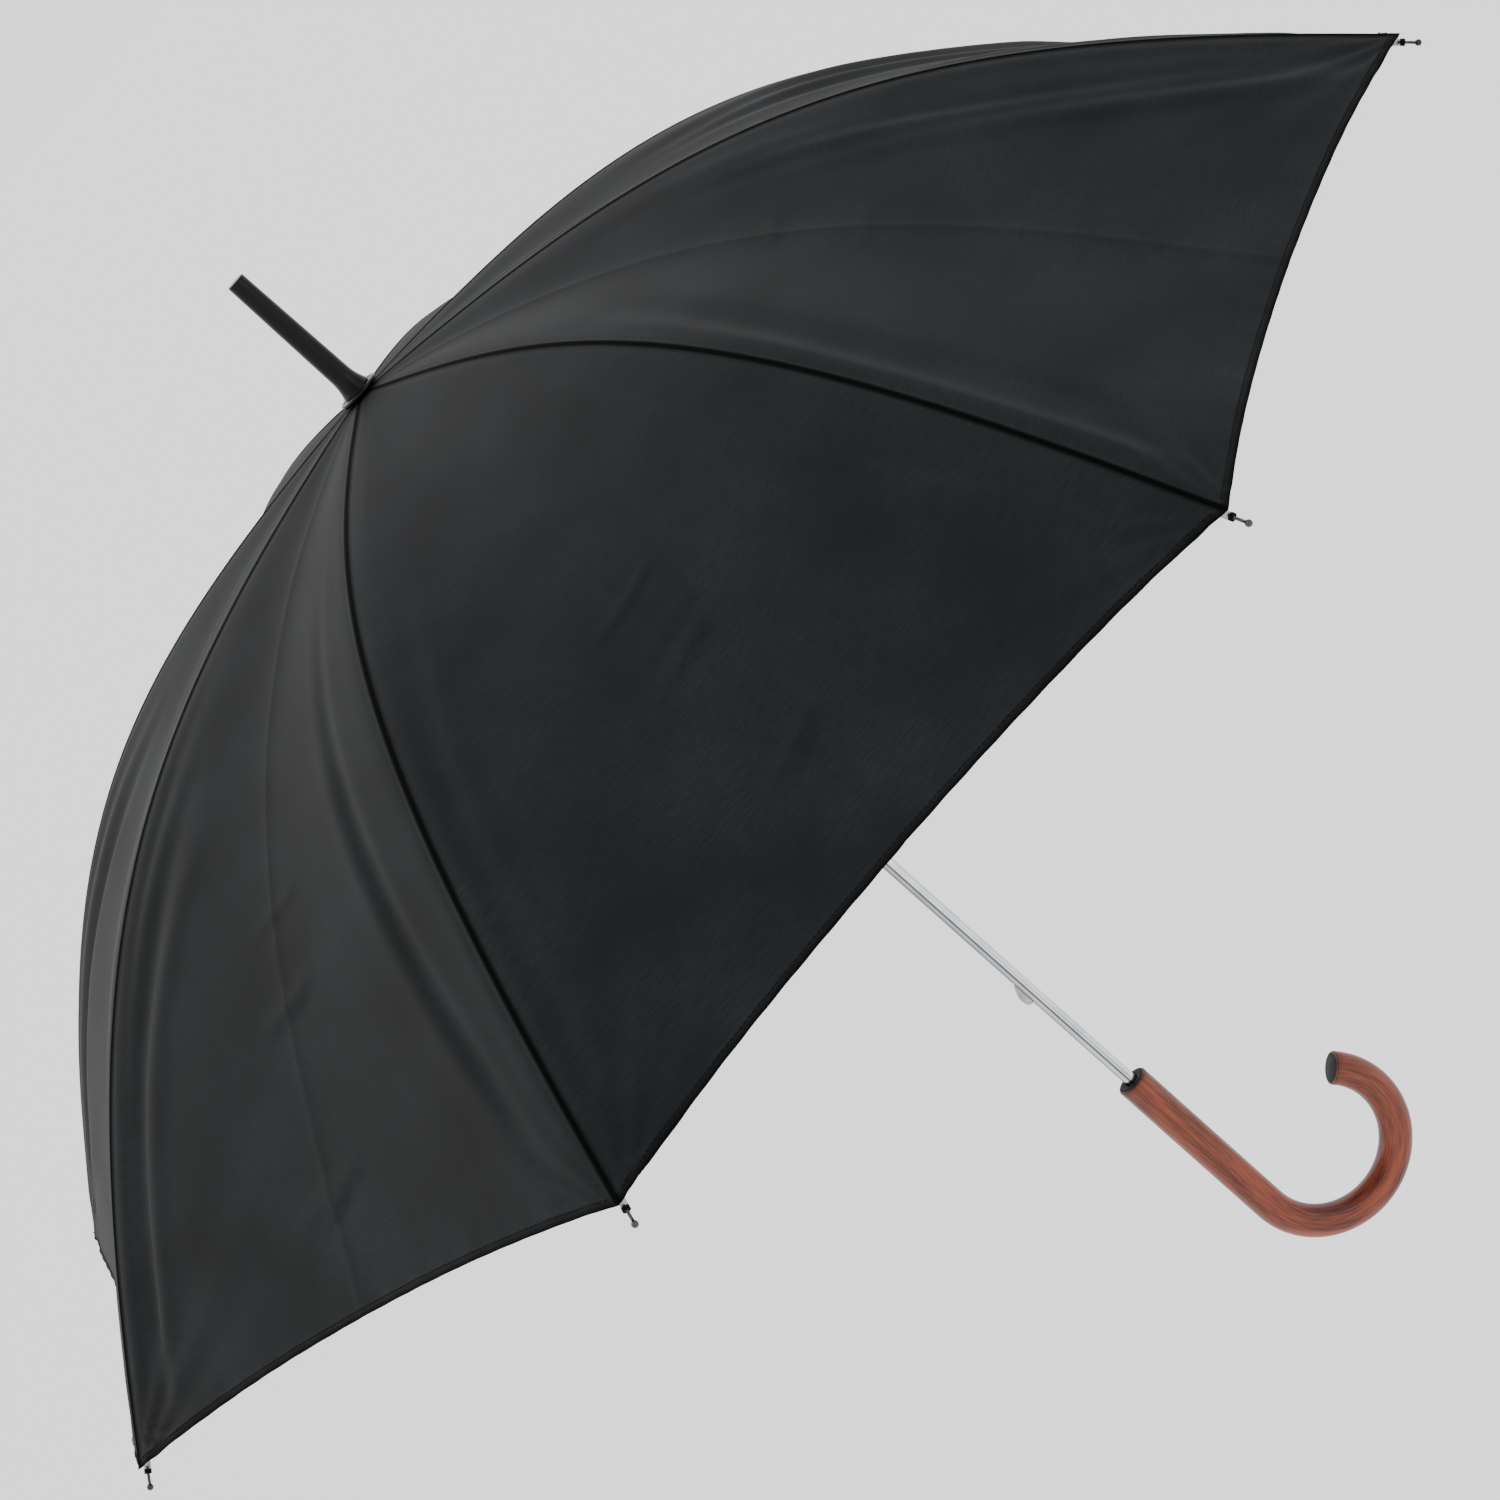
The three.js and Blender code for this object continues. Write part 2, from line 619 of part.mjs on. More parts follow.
// A rib tip along +Z, from its shank inside the rib's channel to its ball.
function tip() {
  const collarEnd = GAP + TIP_COLLAR.length;
  const pinEnd = collarEnd + TIP_PIN.length;
  const ball = [];
  const start = Math.asin(TIP_PIN.radius / TIP_BALL_RADIUS);
  const middle = pinEnd + TIP_BALL_RADIUS * Math.cos(start);
  const steps = 3;
  for (let i = 0; i < steps; i += 1) {
    const angle = THREE.MathUtils.lerp(start, HALF_TURN, i / steps);
    ball.push([TIP_BALL_RADIUS * Math.sin(angle), middle - TIP_BALL_RADIUS * Math.cos(angle)]);
  }
  const outline = [
    [0, -TIP_SHANK.length],
    [TIP_SHANK.radius, -TIP_SHANK.length],
    [TIP_SHANK.radius, GAP],
    [TIP_COLLAR.radius, GAP],
    [TIP_COLLAR.radius, 0.7 * collarEnd],
    [TIP_PIN.radius, collarEnd],
    ...ball,
    [0, middle + TIP_BALL_RADIUS],
  ];
  return turned(outline, 8);
}

// The tie band lies on the outside of one cover piece, along its rib.
function tieBand() {
  const rows = 8;
  return sheet(rows, 2, (i, j, depth) => {
    const t = THREE.MathUtils.lerp(BAND.from, BAND.to, i / rows);
    const w = BAND.side + ((j - 1) * BAND.width) / 2 / halfChord(t);
    return coverPoint(t, w, 2 * GAP + (1 - depth) * BAND.thickness);
  });
}

// The press stud stands on the band near its free end, square to the cloth.
function tieStud() {
  const outline = [
    [0, 0],
    [STUD.radius, 0],
    [STUD.radius, 0.5 * STUD.height],
    [0.7 * STUD.radius, STUD.height],
    [0, STUD.height],
  ];
  const t = BAND.to - share(BAND.to, BAND.width / 2);
  const nudge = 0.02;
  const at = (dt, dw) => new THREE.Vector3(...coverPoint(t + dt, BAND.side + dw, 0));
  const down = at(nudge, 0).sub(at(-nudge, 0));
  const across = at(0, nudge).sub(at(0, -nudge));
  const normal = down.cross(across).normalize();
  const foot = at(0, 0).addScaledVector(normal, 4 * GAP + BAND.thickness);
  const stud = turned(outline, 16);
  stud.applyQuaternion(new THREE.Quaternion().setFromUnitVectors(new THREE.Vector3(0, 0, 1), normal));
  return stud.translate(foot.x, foot.y, foot.z);
}

const tipPlace = underCover(1, ribDepth + RIB.height / 2);
const tipDirection = coverLine.getTangent(1);

for (let i = 0; i < PANELS; i += 1) {
  const arm = new THREE.Group();
  const number = i + 1;
  arm.rotation.z = (i + 0.5) * PANEL_ANGLE;
  umbrella.add(arm);
  add(arm, `rib_inner_${number}`, ribInner(), nickelledSteel());
  add(arm, `rib_outer_${number}`, ribOuter(), nickelledSteel());
  const strut = add(arm, `stretcher_${number}`, stretcher(), nickelledSteel());
  strut.position.set(PIN_CIRCLE, 0, runnerHeight);
  strut.rotation.y = -openAngle;
  const end = add(arm, `rib_tip_${number}`, tip(), nickelledSteel());
  end.position.set(tipPlace.x, 0, tipPlace.y);
  end.rotation.y = Math.atan2(tipDirection.x, tipDirection.y);
  add(arm, `cover_upper_${number}`, coverPiece(7, hubEdge, seamEdge), cloth());
  add(arm, `cover_lower_${number}`, coverPiece(10, seamEdgeBelow, hemEdge), cloth());
  if (number === BAND.rib) {
    add(arm, "tie_band", tieBand(), cloth());
    add(arm, "tie_stud", tieStud(), blackPlastic());
  }
}

// The origin goes half-way up the grip.
const assembled = new THREE.Group();
umbrella.position.z = GRIP_LENGTH / 2 - handleTop;
assembled.add(umbrella);

export default assembled;
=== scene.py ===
"""The looks of an open stick umbrella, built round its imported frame.

The shaft stands on +Z, towards the ferrule, and the crook bends towards +X. Rib number k stands at
(k - 1/2) eighths of a turn round the shaft. Everything is in metres.
"""

import json
import logging
import math
from collections.abc import Iterable, Sequence
from dataclasses import dataclass
from enum import Enum

import bmesh
import bpy
import numpy as np
from mathutils import Matrix, Vector


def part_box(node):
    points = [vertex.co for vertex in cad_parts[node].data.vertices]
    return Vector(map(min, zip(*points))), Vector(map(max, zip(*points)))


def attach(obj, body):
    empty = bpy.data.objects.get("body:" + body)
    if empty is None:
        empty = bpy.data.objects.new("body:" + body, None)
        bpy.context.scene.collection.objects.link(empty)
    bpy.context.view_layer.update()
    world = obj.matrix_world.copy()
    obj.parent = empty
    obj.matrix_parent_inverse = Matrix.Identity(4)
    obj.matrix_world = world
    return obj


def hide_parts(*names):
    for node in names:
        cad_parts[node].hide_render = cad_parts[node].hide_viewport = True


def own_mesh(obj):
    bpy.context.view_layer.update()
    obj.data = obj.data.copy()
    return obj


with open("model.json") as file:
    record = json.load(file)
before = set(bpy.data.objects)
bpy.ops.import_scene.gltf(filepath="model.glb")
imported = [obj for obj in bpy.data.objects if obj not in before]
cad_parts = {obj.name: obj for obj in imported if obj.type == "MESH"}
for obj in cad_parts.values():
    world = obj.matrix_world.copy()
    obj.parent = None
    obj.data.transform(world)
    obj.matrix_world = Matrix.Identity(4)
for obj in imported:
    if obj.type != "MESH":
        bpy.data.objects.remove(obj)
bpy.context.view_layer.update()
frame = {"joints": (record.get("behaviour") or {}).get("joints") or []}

log = logging.getLogger("umbrella")

MM = 0.001
PANELS = 8
PANEL_ANGLE = math.tau / PANELS


class CoverPart(Enum):
    """The two lengths of a cover piece, each on its own length of rib."""

    UPPER = "upper"
    LOWER = "lower"


# ---- Sizes and places ------------------------------------------------------------------------------


@dataclass(frozen=True)
class Joint:
    """A joint of the frame: where it turns and about which axis."""

    name: str
    place: Vector
    axis: Vector


def joint(name: str) -> Joint:
    """Looks a joint up in the frame.

    Args:
        name: The joint's name.

    Returns:
        The joint with its place and axis at rest.
    """
    found = next(j for j in frame["joints"] if j["name"] == name)
    return Joint(name, Vector(found["pos_m"]), Vector(found["axis"]))


def rib_azimuth(number: float) -> float:
    """The direction in which a rib points, in radians; a half number gives a panel's middle."""
    return (number - 0.5) * PANEL_ANGLE


@dataclass(frozen=True)
class RibBow:
    """The outside of the cover along a rib: a bow from the top of the cover to a rib tip."""

    top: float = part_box("ferrule_washer")[0].z - 0.3 * MM
    rise: float = 250 * MM
    radius: float = 530 * MM
    shoulder: tuple[float, float] = (0.44, 0.924)
    bend: tuple[float, float] = (0.628, 0.819)

    def controls(self) -> np.ndarray:
        """The bow's four control points as rows of radius and height."""
        low = self.top - self.rise
        return np.array([
            (0.0, self.top),
            (self.shoulder[0] * self.radius, low + self.shoulder[1] * self.rise),
            (self.bend[0] * self.radius, low + self.bend[1] * self.rise),
            (self.radius, low),
        ])

    def point(self, t: np.ndarray) -> np.ndarray:
        """Points of the bow.

        Args:
            t: Shares of the bow, 0 at the top and 1 at the tip, in any shape.

        Returns:
            Radius and height, on a new last axis.
        """
        t = np.asarray(t, float)[..., None]
        a, b, c, d = self.controls()
        return (1 - t) ** 3 * a + 3 * (1 - t) ** 2 * t * b + 3 * (1 - t) * t**2 * c + t**3 * d

    def slope(self, t: np.ndarray) -> np.ndarray:
        """How fast the bow's point moves with t, as radius and height on a new last axis."""
        t = np.asarray(t, float)[..., None]
        a, b, c, d = self.controls()
        return 3 * (1 - t) ** 2 * (b - a) + 6 * (1 - t) * t * (c - b) + 3 * t**2 * (d - c)

    def normal(self, t: np.ndarray) -> np.ndarray:
        """The direction out of the cover, square to the bow, on a new last axis."""
        along = self.slope(t)
        along = along / np.linalg.norm(along, axis=-1, keepdims=True)
        return np.stack([-along[..., 1], along[..., 0]], axis=-1)

    def under(self, t: np.ndarray, depth: float) -> np.ndarray:
        """Points at a depth under the outside of the cover, as radius and height."""
        return self.point(t) - depth * self.normal(t)

    def length(self, t: np.ndarray) -> np.ndarray:
        """The length of the bow from its top to t."""
        steps = np.linspace(0, 1, 400)
        speed = np.linalg.norm(self.slope(steps), axis=-1)
        run = np.concatenate([[0], np.cumsum((speed[1:] + speed[:-1]) / 2 * np.diff(steps))])
        return np.interp(t, steps, run)

    def share(self, t: float, distance: float) -> float:
        """The share of the bow that a short distance near t takes up."""
        return distance / float(np.linalg.norm(self.slope(t)))

    def nearest(self, radius: float) -> float:
        """The share of the bow at which it reaches a radius."""
        steps = np.linspace(0, 1, 4000)
        return float(np.interp(radius, self.point(steps)[:, 0], steps))


BOW = RibBow()


# ---- Making meshes ---------------------------------------------------------------------------------


def srgb(code: str) -> tuple[float, float, float, float]:
    """Turns an sRGB hex colour to linear red, green, blue and alpha.

    Args:
        code: Six hex digits.

    Returns:
        The linear colour, opaque.
    """
    parts = [int(code[i:i + 2], 16) / 255 for i in (0, 2, 4)]
    linear = [p / 12.92 if p <= 0.04045 else ((p + 0.055) / 1.055) ** 2.4 for p in parts]
    return (*linear, 1.0)


def add_node(tree: bpy.types.NodeTree, kind: str, inputs: dict | None = None, **settings) -> bpy.types.Node:
    """Adds a node with its settings and links.

    Args:
        tree: The node tree.
        kind: The node's type.
        inputs: Values or sockets by input name or number.
        settings: Attributes of the node.

    Returns:
        The new node.
    """
    node = tree.nodes.new(kind)
    for name, value in settings.items():
        setattr(node, name, value)
    for name, value in (inputs or {}).items():
        if isinstance(value, bpy.types.NodeSocket):
            tree.links.new(value, node.inputs[name])
        else:
            node.inputs[name].default_value = value
    return node


def mesh_piece(
    name: str,
    corners: np.ndarray | Sequence,
    faces: Sequence[Sequence[int]],
    material: bpy.types.Material,
    flat: bool = False,
) -> bpy.types.Object:
    """Makes an object from corners and faces.

    Args:
        name: The piece's name.
        corners: Corner places.
        faces: Corner numbers of each face.
        material: Its material.
        flat: Whether its faces are shaded flat.

    Returns:
        The object, linked to the scene.
    """
    mesh = bpy.data.meshes.new(name)
    mesh.from_pydata(np.asarray(corners).tolist(), [], [list(f) for f in faces])
    mesh.validate()
    mesh.polygons.foreach_set("use_smooth", [not flat] * len(mesh.polygons))
    mesh.materials.append(material)
    piece = bpy.data.objects.new(name, mesh)
    bpy.context.scene.collection.objects.link(piece)
    return piece


def baked(piece: bpy.types.Object) -> bpy.types.Object:
    """Turns a piece's live modifiers into plain mesh.

    Args:
        piece: The piece with its modifiers.

    Returns:
        The same piece with none.
    """
    view = bpy.context.evaluated_depsgraph_get()
    mesh = bpy.data.meshes.new_from_object(piece.evaluated_get(view), depsgraph=view)
    piece.modifiers.clear()
    piece.data = mesh
    return piece


def outward(piece: bpy.types.Object) -> bpy.types.Object:
    """Turns all of a closed piece's faces outwards."""
    shape = bmesh.new()
    shape.from_mesh(piece.data)
    bmesh.ops.remove_doubles(shape, verts=shape.verts, dist=1e-7)
    bmesh.ops.recalc_face_normals(shape, faces=shape.faces)
    shape.to_mesh(piece.data)
    shape.free()
    return piece


def joined_rings(rings: int, sides: int, closed: bool) -> list[tuple[int, ...]]:
    """Faces between rings of corners, one after the other.

    Args:
        rings: How many rings.
        sides: Corners in each.
        closed: Whether the last ring joins the first; otherwise both ends get a cap.

    Returns:
        The faces.
    """
    faces = []
    for i in range(rings if closed else rings - 1):
        a, b = i * sides, ((i + 1) % rings) * sides
        for j in range(sides):
            k = (j + 1) % sides
            faces.append((a + j, a + k, b + k, b + j))
    if not closed:
        faces.append(tuple(range(sides))[::-1])
        faces.append(tuple(range((rings - 1) * sides, rings * sides)))
    return faces


def turned(
    name: str,
    outline: Sequence[tuple[float, float]],
    material: bpy.types.Material,
    sides: int = 64,
    closed: bool = True,
) -> bpy.types.Object:
    """A piece turned on the Z axis.

    Args:
        name: The piece's name.
        outline: Radius and height of each corner, in order round or along the section.
        material: Its material.
        sides: How many sides the circle has.
        closed: Whether the outline goes all the way round; otherwise each end of it gets a flat cap.

    Returns:
        The piece.
    """
    corners = [
        (r * math.cos(a), r * math.sin(a), z)
        for r, z in outline
        for a in (math.tau * j / sides for j in range(sides))
    ]
    return outward(mesh_piece(name, corners, joined_rings(len(outline), sides, closed), material))


def capped(
    name: str, outline: Sequence[tuple[float, float]], material: bpy.types.Material, sides: int = 64
) -> bpy.types.Object:
    """A solid piece turned on the Z axis, from an outline that runs from one end's cap to the other's."""
    return turned(name, outline, material, sides, closed=False)


def cut(piece: bpy.types.Object, cutters: Iterable[bpy.types.Object]) -> bpy.types.Object:
    """Cuts pieces out of a piece and deletes them.

    Args:
        piece: The piece that is cut.
        cutters: Closed pieces to take away.

    Returns:
        The cut piece.
    """
    used = list(cutters)
    for cutter in used:
        change = piece.modifiers.new("cut", "BOOLEAN")
        change.operation = "DIFFERENCE"
        change.solver = "EXACT"
        change.object = cutter
    baked(piece)
    for cutter in used:
        bpy.data.objects.remove(cutter)
    return piece


def block(
    low: Sequence[float], high: Sequence[float], turn: float, material: bpy.types.Material
) -> bpy.types.Object:
    """A box between two corners, turned about the Z axis, for cutting with."""
    spin = Matrix.Rotation(turn, 3, "Z")
    corners = [
        spin @ Vector((x, y, z)) for x in (
            low[0], high[0]
        ) for y in (low[1], high[1]) for z in (low[2], high[2])
    ]
    faces = [(0, 1, 3, 2), (4, 6, 7, 5), (0, 4, 5, 1), (2, 3, 7, 6), (0, 2, 6, 4), (1, 5, 7, 3)]
    return outward(mesh_piece("cutter", [tuple(c) for c in corners], faces, material))


def placed(piece: bpy.types.Object, move: Matrix) -> bpy.types.Object:
    """Moves a piece's mesh, and leaves its object at the origin."""
    piece.data.transform(move)
    piece.data.update()
    return piece


def merged(name: str, pieces: Sequence[bpy.types.Object]) -> bpy.types.Object:
    """Joins pieces of one material into one piece.

    Args:
        name: The joined piece's name.
        pieces: The pieces, at the origin.

    Returns:
        The joined piece.
    """
    shape = bmesh.new()
    for piece in pieces:
        shape.from_mesh(piece.data)
    first = pieces[0]
    shape.to_mesh(first.data)
    shape.free()
    for piece in pieces[1:]:
        bpy.data.objects.remove(piece)
    first.name = name
    first.data.name = name
    return first


def finished(
    piece: bpy.types.Object, body: str, slot: str, *nodes: str
) -> bpy.types.Object:
    """Puts a finished piece on its body in place of its CAD nodes.

    Args:
        piece: The piece.
        body: The body that it moves with.
        slot: The record's material slot; not used.
        nodes: The CAD nodes that it stands for.

    Returns:
        The same piece.
    """
    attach(piece, body)
    if nodes:
        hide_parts(*nodes)
    log.info("%s rides on %s, %d faces", piece.name, body, len(piece.data.polygons))
    return piece


# ---- Finishes --------------------------------------------------------------------------------------


def new_material(name: str) -> tuple[bpy.types.Material, bpy.types.NodeTree, bpy.types.Node]:
    """A material with a single Principled shader.

    Args:
        name: The material's name.

    Returns:
        The material, its tree and its shader node.
    """
    material = bpy.data.materials.new(name)
    material.use_nodes = True
    tree = material.node_tree
    return material, tree, tree.nodes["Principled BSDF"]


def ramp(
    tree: bpy.types.NodeTree, factor: bpy.types.NodeSocket, *stops: tuple[float, str]
) -> bpy.types.NodeSocket:
    """A colour ramp.

    Args:
        tree: The material's tree.
        factor: What runs through it.
        stops: Places and sRGB hex colours.

    Returns:
        Its colour socket.
    """
    node = add_node(tree, "ShaderNodeValToRGB", {"Fac": factor})
    elements = node.color_ramp.elements
    while len(elements) < len(stops):
        elements.new(0.5)
    for element, (place, code) in zip(elements, stops):
        element.position = place
        element.color = srgb(code)
    return node.outputs["Color"]


def spread(
    tree: bpy.types.NodeTree, factor: bpy.types.NodeSocket, low: float, high: float
) -> bpy.types.NodeSocket:
    """Maps a value from 0..1 to low..high."""
    node = add_node(tree, "ShaderNodeMapRange", {"Value": factor, "To Min": low, "To Max": high})
    return node.outputs["Result"]


@dataclass(frozen=True)
class Taffeta:
    """Plain-woven polyester taffeta, dyed black, with a waterproof finish: a dry, faint sheen."""

    name: str = "black polyester taffeta, woven and calendered"
    dark: str = "101112"
    light: str = "1d1f21"
    # The colour of the painted shade along the rib seams and the hem.
    sewn: str = "050606"
    # Real threads are about 0.2 mm apart, too fine to show, so the weave is drawn at 1.1 mm.
    thread: float = 1.1 * MM
    slub: float = 9 * MM

    def material(self) -> bpy.types.Material:
        """Builds the cloth's material on the piece's own flat pattern map."""
        material, tree, shader = new_material(self.name)
        pattern = add_node(tree, "ShaderNodeUVMap", uv_map="cut").outputs["UV"]
        # Warp and weft: two sets of fine bands at right angles.
        bands = [
            add_node(
                tree, "ShaderNodeTexWave", {
                    "Vector": pattern, "Scale": 0.157 / self.thread, "Distortion": 0.6
                },
                wave_type="BANDS", bands_direction=direction,
            ).outputs["Fac"]
            for direction in ("X", "Y")
        ]
        weave = add_node(tree, "ShaderNodeMath", {0: bands[0], 1: bands[1]}, operation="MULTIPLY").outputs[0]
        # Uneven yarn: short streaks along the weft.
        stretched = add_node(
            tree, "ShaderNodeMapping", {"Vector": pattern, "Scale": (1 / self.slub, 6 / self.slub, 1)}
        ).outputs["Vector"]
        yarn = add_node(
            tree, "ShaderNodeTexNoise", {"Vector": stretched, "Scale": 1.0, "Detail": 3.0}
        ).outputs["Fac"]
        cloud = add_node(
            tree, "ShaderNodeTexNoise", {"Vector": pattern, "Scale": 14.0, "Detail": 2.0}
        ).outputs["Fac"]
        mixed = add_node(tree, "ShaderNodeMath", {0: yarn, 1: cloud}, operation="MULTIPLY").outputs[0]
        face = ramp(tree, mixed, (0.1, self.dark), (0.45, self.light))
        # Painted shade: a narrow band along each rib seam and along the hem is darkened in the colour.
        sewn = add_node(tree, "ShaderNodeAttribute", attribute_name="sewn").outputs["Fac"]
        colour = add_node(
            tree, "ShaderNodeMix", {"Factor": sewn, 6: face, 7: srgb(self.sewn)}, data_type="RGBA"
        ).outputs[2]
        tree.links.new(colour, shader.inputs["Base Color"])
        tree.links.new(spread(tree, yarn, 0.7, 0.85), shader.inputs["Roughness"])
        height = add_node(tree, "ShaderNodeMath", {0: weave, 1: yarn}, operation="ADD").outputs[0]
        bump = add_node(tree, "ShaderNodeBump", {"Strength": 0.22, "Distance": 0.15 * MM, "Height": height})
        tree.links.new(bump.outputs["Normal"], shader.inputs["Normal"])
        tree.links.new(spread(tree, sewn, 0.12, 0.02), shader.inputs["Specular IOR Level"])
        tree.links.new(spread(tree, sewn, 0.02, 0.0), shader.inputs["Sheen Weight"])
        shader.inputs["Sheen Roughness"].default_value = 0.35
        return material


@dataclass(frozen=True)
class Thread:
    """Spun polyester sewing thread: matt and a little darker than the cloth."""

    name: str = "black polyester thread, spun"
    colour: str = "08090a"

    def material(self) -> bpy.types.Material:
        """Builds the thread's material."""
        material, tree, shader = new_material(self.name)
        place = add_node(tree, "ShaderNodeTexCoord").outputs["Object"]
        fuzz = add_node(tree, "ShaderNodeTexNoise", {"Vector": place, "Scale": 2500.0}).outputs["Fac"]
        tree.links.new(ramp(tree, fuzz, (0.3, self.colour), (0.8, "111213")), shader.inputs["Base Color"])
        shader.inputs["Roughness"].default_value = 0.8
        shader.inputs["Specular IOR Level"].default_value = 0.1
        return material


@dataclass(frozen=True)
class GlossPlastic:
    """Injection-moulded ABS, black and glossy, with the faint ripple that moulding leaves."""

    name: str = "black ABS, injection moulded"
    colour: str = "030304"
    roughness: tuple[float, float] = (0.16, 0.3)

    def material(self) -> bpy.types.Material:
        """Builds the plastic's material."""
        material, tree, shader = new_material(self.name)
        place = add_node(tree, "ShaderNodeTexCoord").outputs["Object"]
        rubbed = add_node(
            tree, "ShaderNodeTexNoise", {"Vector": place, "Scale": 180.0, "Detail": 4.0}
        ).outputs["Fac"]
        tree.links.new(
            ramp(tree, rubbed, (0.35, self.colour), (0.75, "070708")), shader.inputs["Base Color"]
        )
        tree.links.new(spread(tree, rubbed, *self.roughness), shader.inputs["Roughness"])
        bump = add_node(tree, "ShaderNodeBump", {"Strength": 0.12, "Distance": 0.1 * MM, "Height": rubbed})
        tree.links.new(bump.outputs["Normal"], shader.inputs["Normal"])
        shader.inputs["IOR"].default_value = 1.54
        shader.inputs["Specular IOR Level"].default_value = 0.14
        return material


@dataclass(frozen=True)
class PlatedSteel:
    """Steel with a plated coat: bright chrome on the shaft, duller nickel on the ribs."""

    name: str
    bright: str
    dull: str
    roughness: tuple[float, float]
    # How strongly painted reflections, dark and white streaks along the tube, are multiplied into the
    # colour, 0 for none.
    reflection_streaks: float = 0.0
    # Drawing marks run along the piece; they are drawn 0.4 mm apart so that they show.
    marks: float = 0.4 * MM
    reflection_streak_width: float = 2.6 * MM

    def material(self) -> bpy.types.Material:
        """Builds the metal's material."""
        material, tree, shader = new_material(self.name)
        place = add_node(tree, "ShaderNodeTexCoord").outputs["Object"]
        drawn = add_node(
            tree, "ShaderNodeMapping", {"Vector": place, "Scale": (1 / self.marks, 1 / self.marks, 12.0)}
        ).outputs["Vector"]
        lines = add_node(
            tree, "ShaderNodeTexNoise", {"Vector": drawn, "Scale": 1.0, "Detail": 2.0}
        ).outputs["Fac"]
        stain = add_node(
            tree, "ShaderNodeTexNoise", {"Vector": place, "Scale": 60.0, "Detail": 3.0}
        ).outputs["Fac"]
        colour = ramp(tree, stain, (0.35, self.dull), (0.6, self.bright))
        # Painted reflection: soft dark and white bands along the tube are multiplied into the colour.
        if self.reflection_streaks:
            drawn = add_node(
                tree, "ShaderNodeMapping",
                {"Vector": place, "Scale": (1 / self.reflection_streak_width, 1 / self.reflection_streak_width, 0.6)},
            ).outputs["Vector"]
            broad = add_node(
                tree, "ShaderNodeTexNoise", {"Vector": drawn, "Scale": 1.0, "Detail": 1.0}
            ).outputs["Fac"]
            reflection_streak = ramp(tree, broad, (0.36, "3a3f42"), (0.43, "9da3a6"), (0.5, "ffffff"), (0.6, "d5d9db"))
            colour = add_node(
                tree, "ShaderNodeMix", {"Factor": self.reflection_streaks, 6: colour, 7: reflection_streak}, data_type="RGBA",
                blend_type="MULTIPLY",
            ).outputs[2]
        tree.links.new(colour, shader.inputs["Base Color"])
        tree.links.new(spread(tree, lines, *self.roughness), shader.inputs["Roughness"])
        bump = add_node(tree, "ShaderNodeBump", {"Strength": 0.05, "Distance": 0.05 * MM, "Height": lines})
        tree.links.new(bump.outputs["Normal"], shader.inputs["Normal"])
        shader.inputs["Metallic"].default_value = 1.0
        return material


@dataclass(frozen=True)
class StainedWood:
    """Steam-bent beech, stained red-brown and lacquered: dark pores run along the bend."""

    name: str = "beech, steam-bent, stained and lacquered"
    pale: str = "8a4229"
    deep: str = "431b10"
    end: str = "0c0604"
    pore: float = 0.9 * MM

    def material(self) -> bpy.types.Material:
        """Builds the wood's material on its own map: round the stick, then along it."""
        material, tree, shader = new_material(self.name)
        grain = add_node(tree, "ShaderNodeUVMap", uv_map="grain").outputs["UV"]
        fine = add_node(
            tree, "ShaderNodeMapping", {"Vector": grain, "Scale": (1 / self.pore, 0.045 / self.pore, 1)}
        ).outputs["Vector"]
        pores = add_node(
            tree, "ShaderNodeTexNoise", {"Vector": fine, "Scale": 1.0, "Detail": 5.0, "Roughness": 0.65}
        ).outputs["Fac"]
        broad = add_node(
            tree, "ShaderNodeMapping", {"Vector": grain, "Scale": (170, 16, 1)}
        ).outputs["Vector"]
        figure = add_node(
            tree, "ShaderNodeTexNoise", {"Vector": broad, "Scale": 1.0, "Detail": 2.0}
        ).outputs["Fac"]
        share = add_node(
            tree, "ShaderNodeMath", {0: pores, 1: 1.6, 2: figure}, operation="MULTIPLY_ADD"
        ).outputs[0]
        half = add_node(tree, "ShaderNodeMath", {0: share, 1: 1 / 2.6}, operation="MULTIPLY").outputs[0]
        face = ramp(tree, half, (0.38, self.deep), (0.48, "6a3020"), (0.6, self.pale))
        # End grain takes up far more stain.
        ends = add_node(tree, "ShaderNodeAttribute", attribute_name="end_grain").outputs["Fac"]
        colour = add_node(
            tree, "ShaderNodeMix", {"Factor": ends, 6: face, 7: srgb(self.end)}, data_type="RGBA"
        ).outputs[2]
        tree.links.new(colour, shader.inputs["Base Color"])
        lacquer = spread(tree, pores, 0.46, 0.34)
        rough = add_node(
            tree, "ShaderNodeMath", {0: ends, 1: 0.45, 2: lacquer}, operation="MULTIPLY_ADD"
        ).outputs[0]
        tree.links.new(rough, shader.inputs["Roughness"])
        shader.inputs["Specular IOR Level"].default_value = 0.3
        bump = add_node(tree, "ShaderNodeBump", {"Strength": 0.35, "Distance": 0.12 * MM, "Height": pores})
        tree.links.new(bump.outputs["Normal"], shader.inputs["Normal"])
        shader.inputs["Coat Weight"].default_value = 0.1
        shader.inputs["Coat Roughness"].default_value = 0.2
        return material


@dataclass(frozen=True)
class PaleFloor:
    """A matt white studio floor."""

    name: str = "white studio floor, painted"
    colour: str = "fbfbfb"

    def material(self) -> bpy.types.Material:
        """Builds the floor's material."""
        material, _, shader = new_material(self.name)
        shader.inputs["Base Color"].default_value = srgb(self.colour)
        shader.inputs["Roughness"].default_value = 0.9
        return material


# ---- The cover -------------------------------------------------------------------------------------


@dataclass(frozen=True)
class Fold:
    """A soft fold in one panel, between two places given as shares down the rib and across the panel."""

    panel: int
    start: tuple[float, float]
    end: tuple[float, float]
    width: float
    height: float


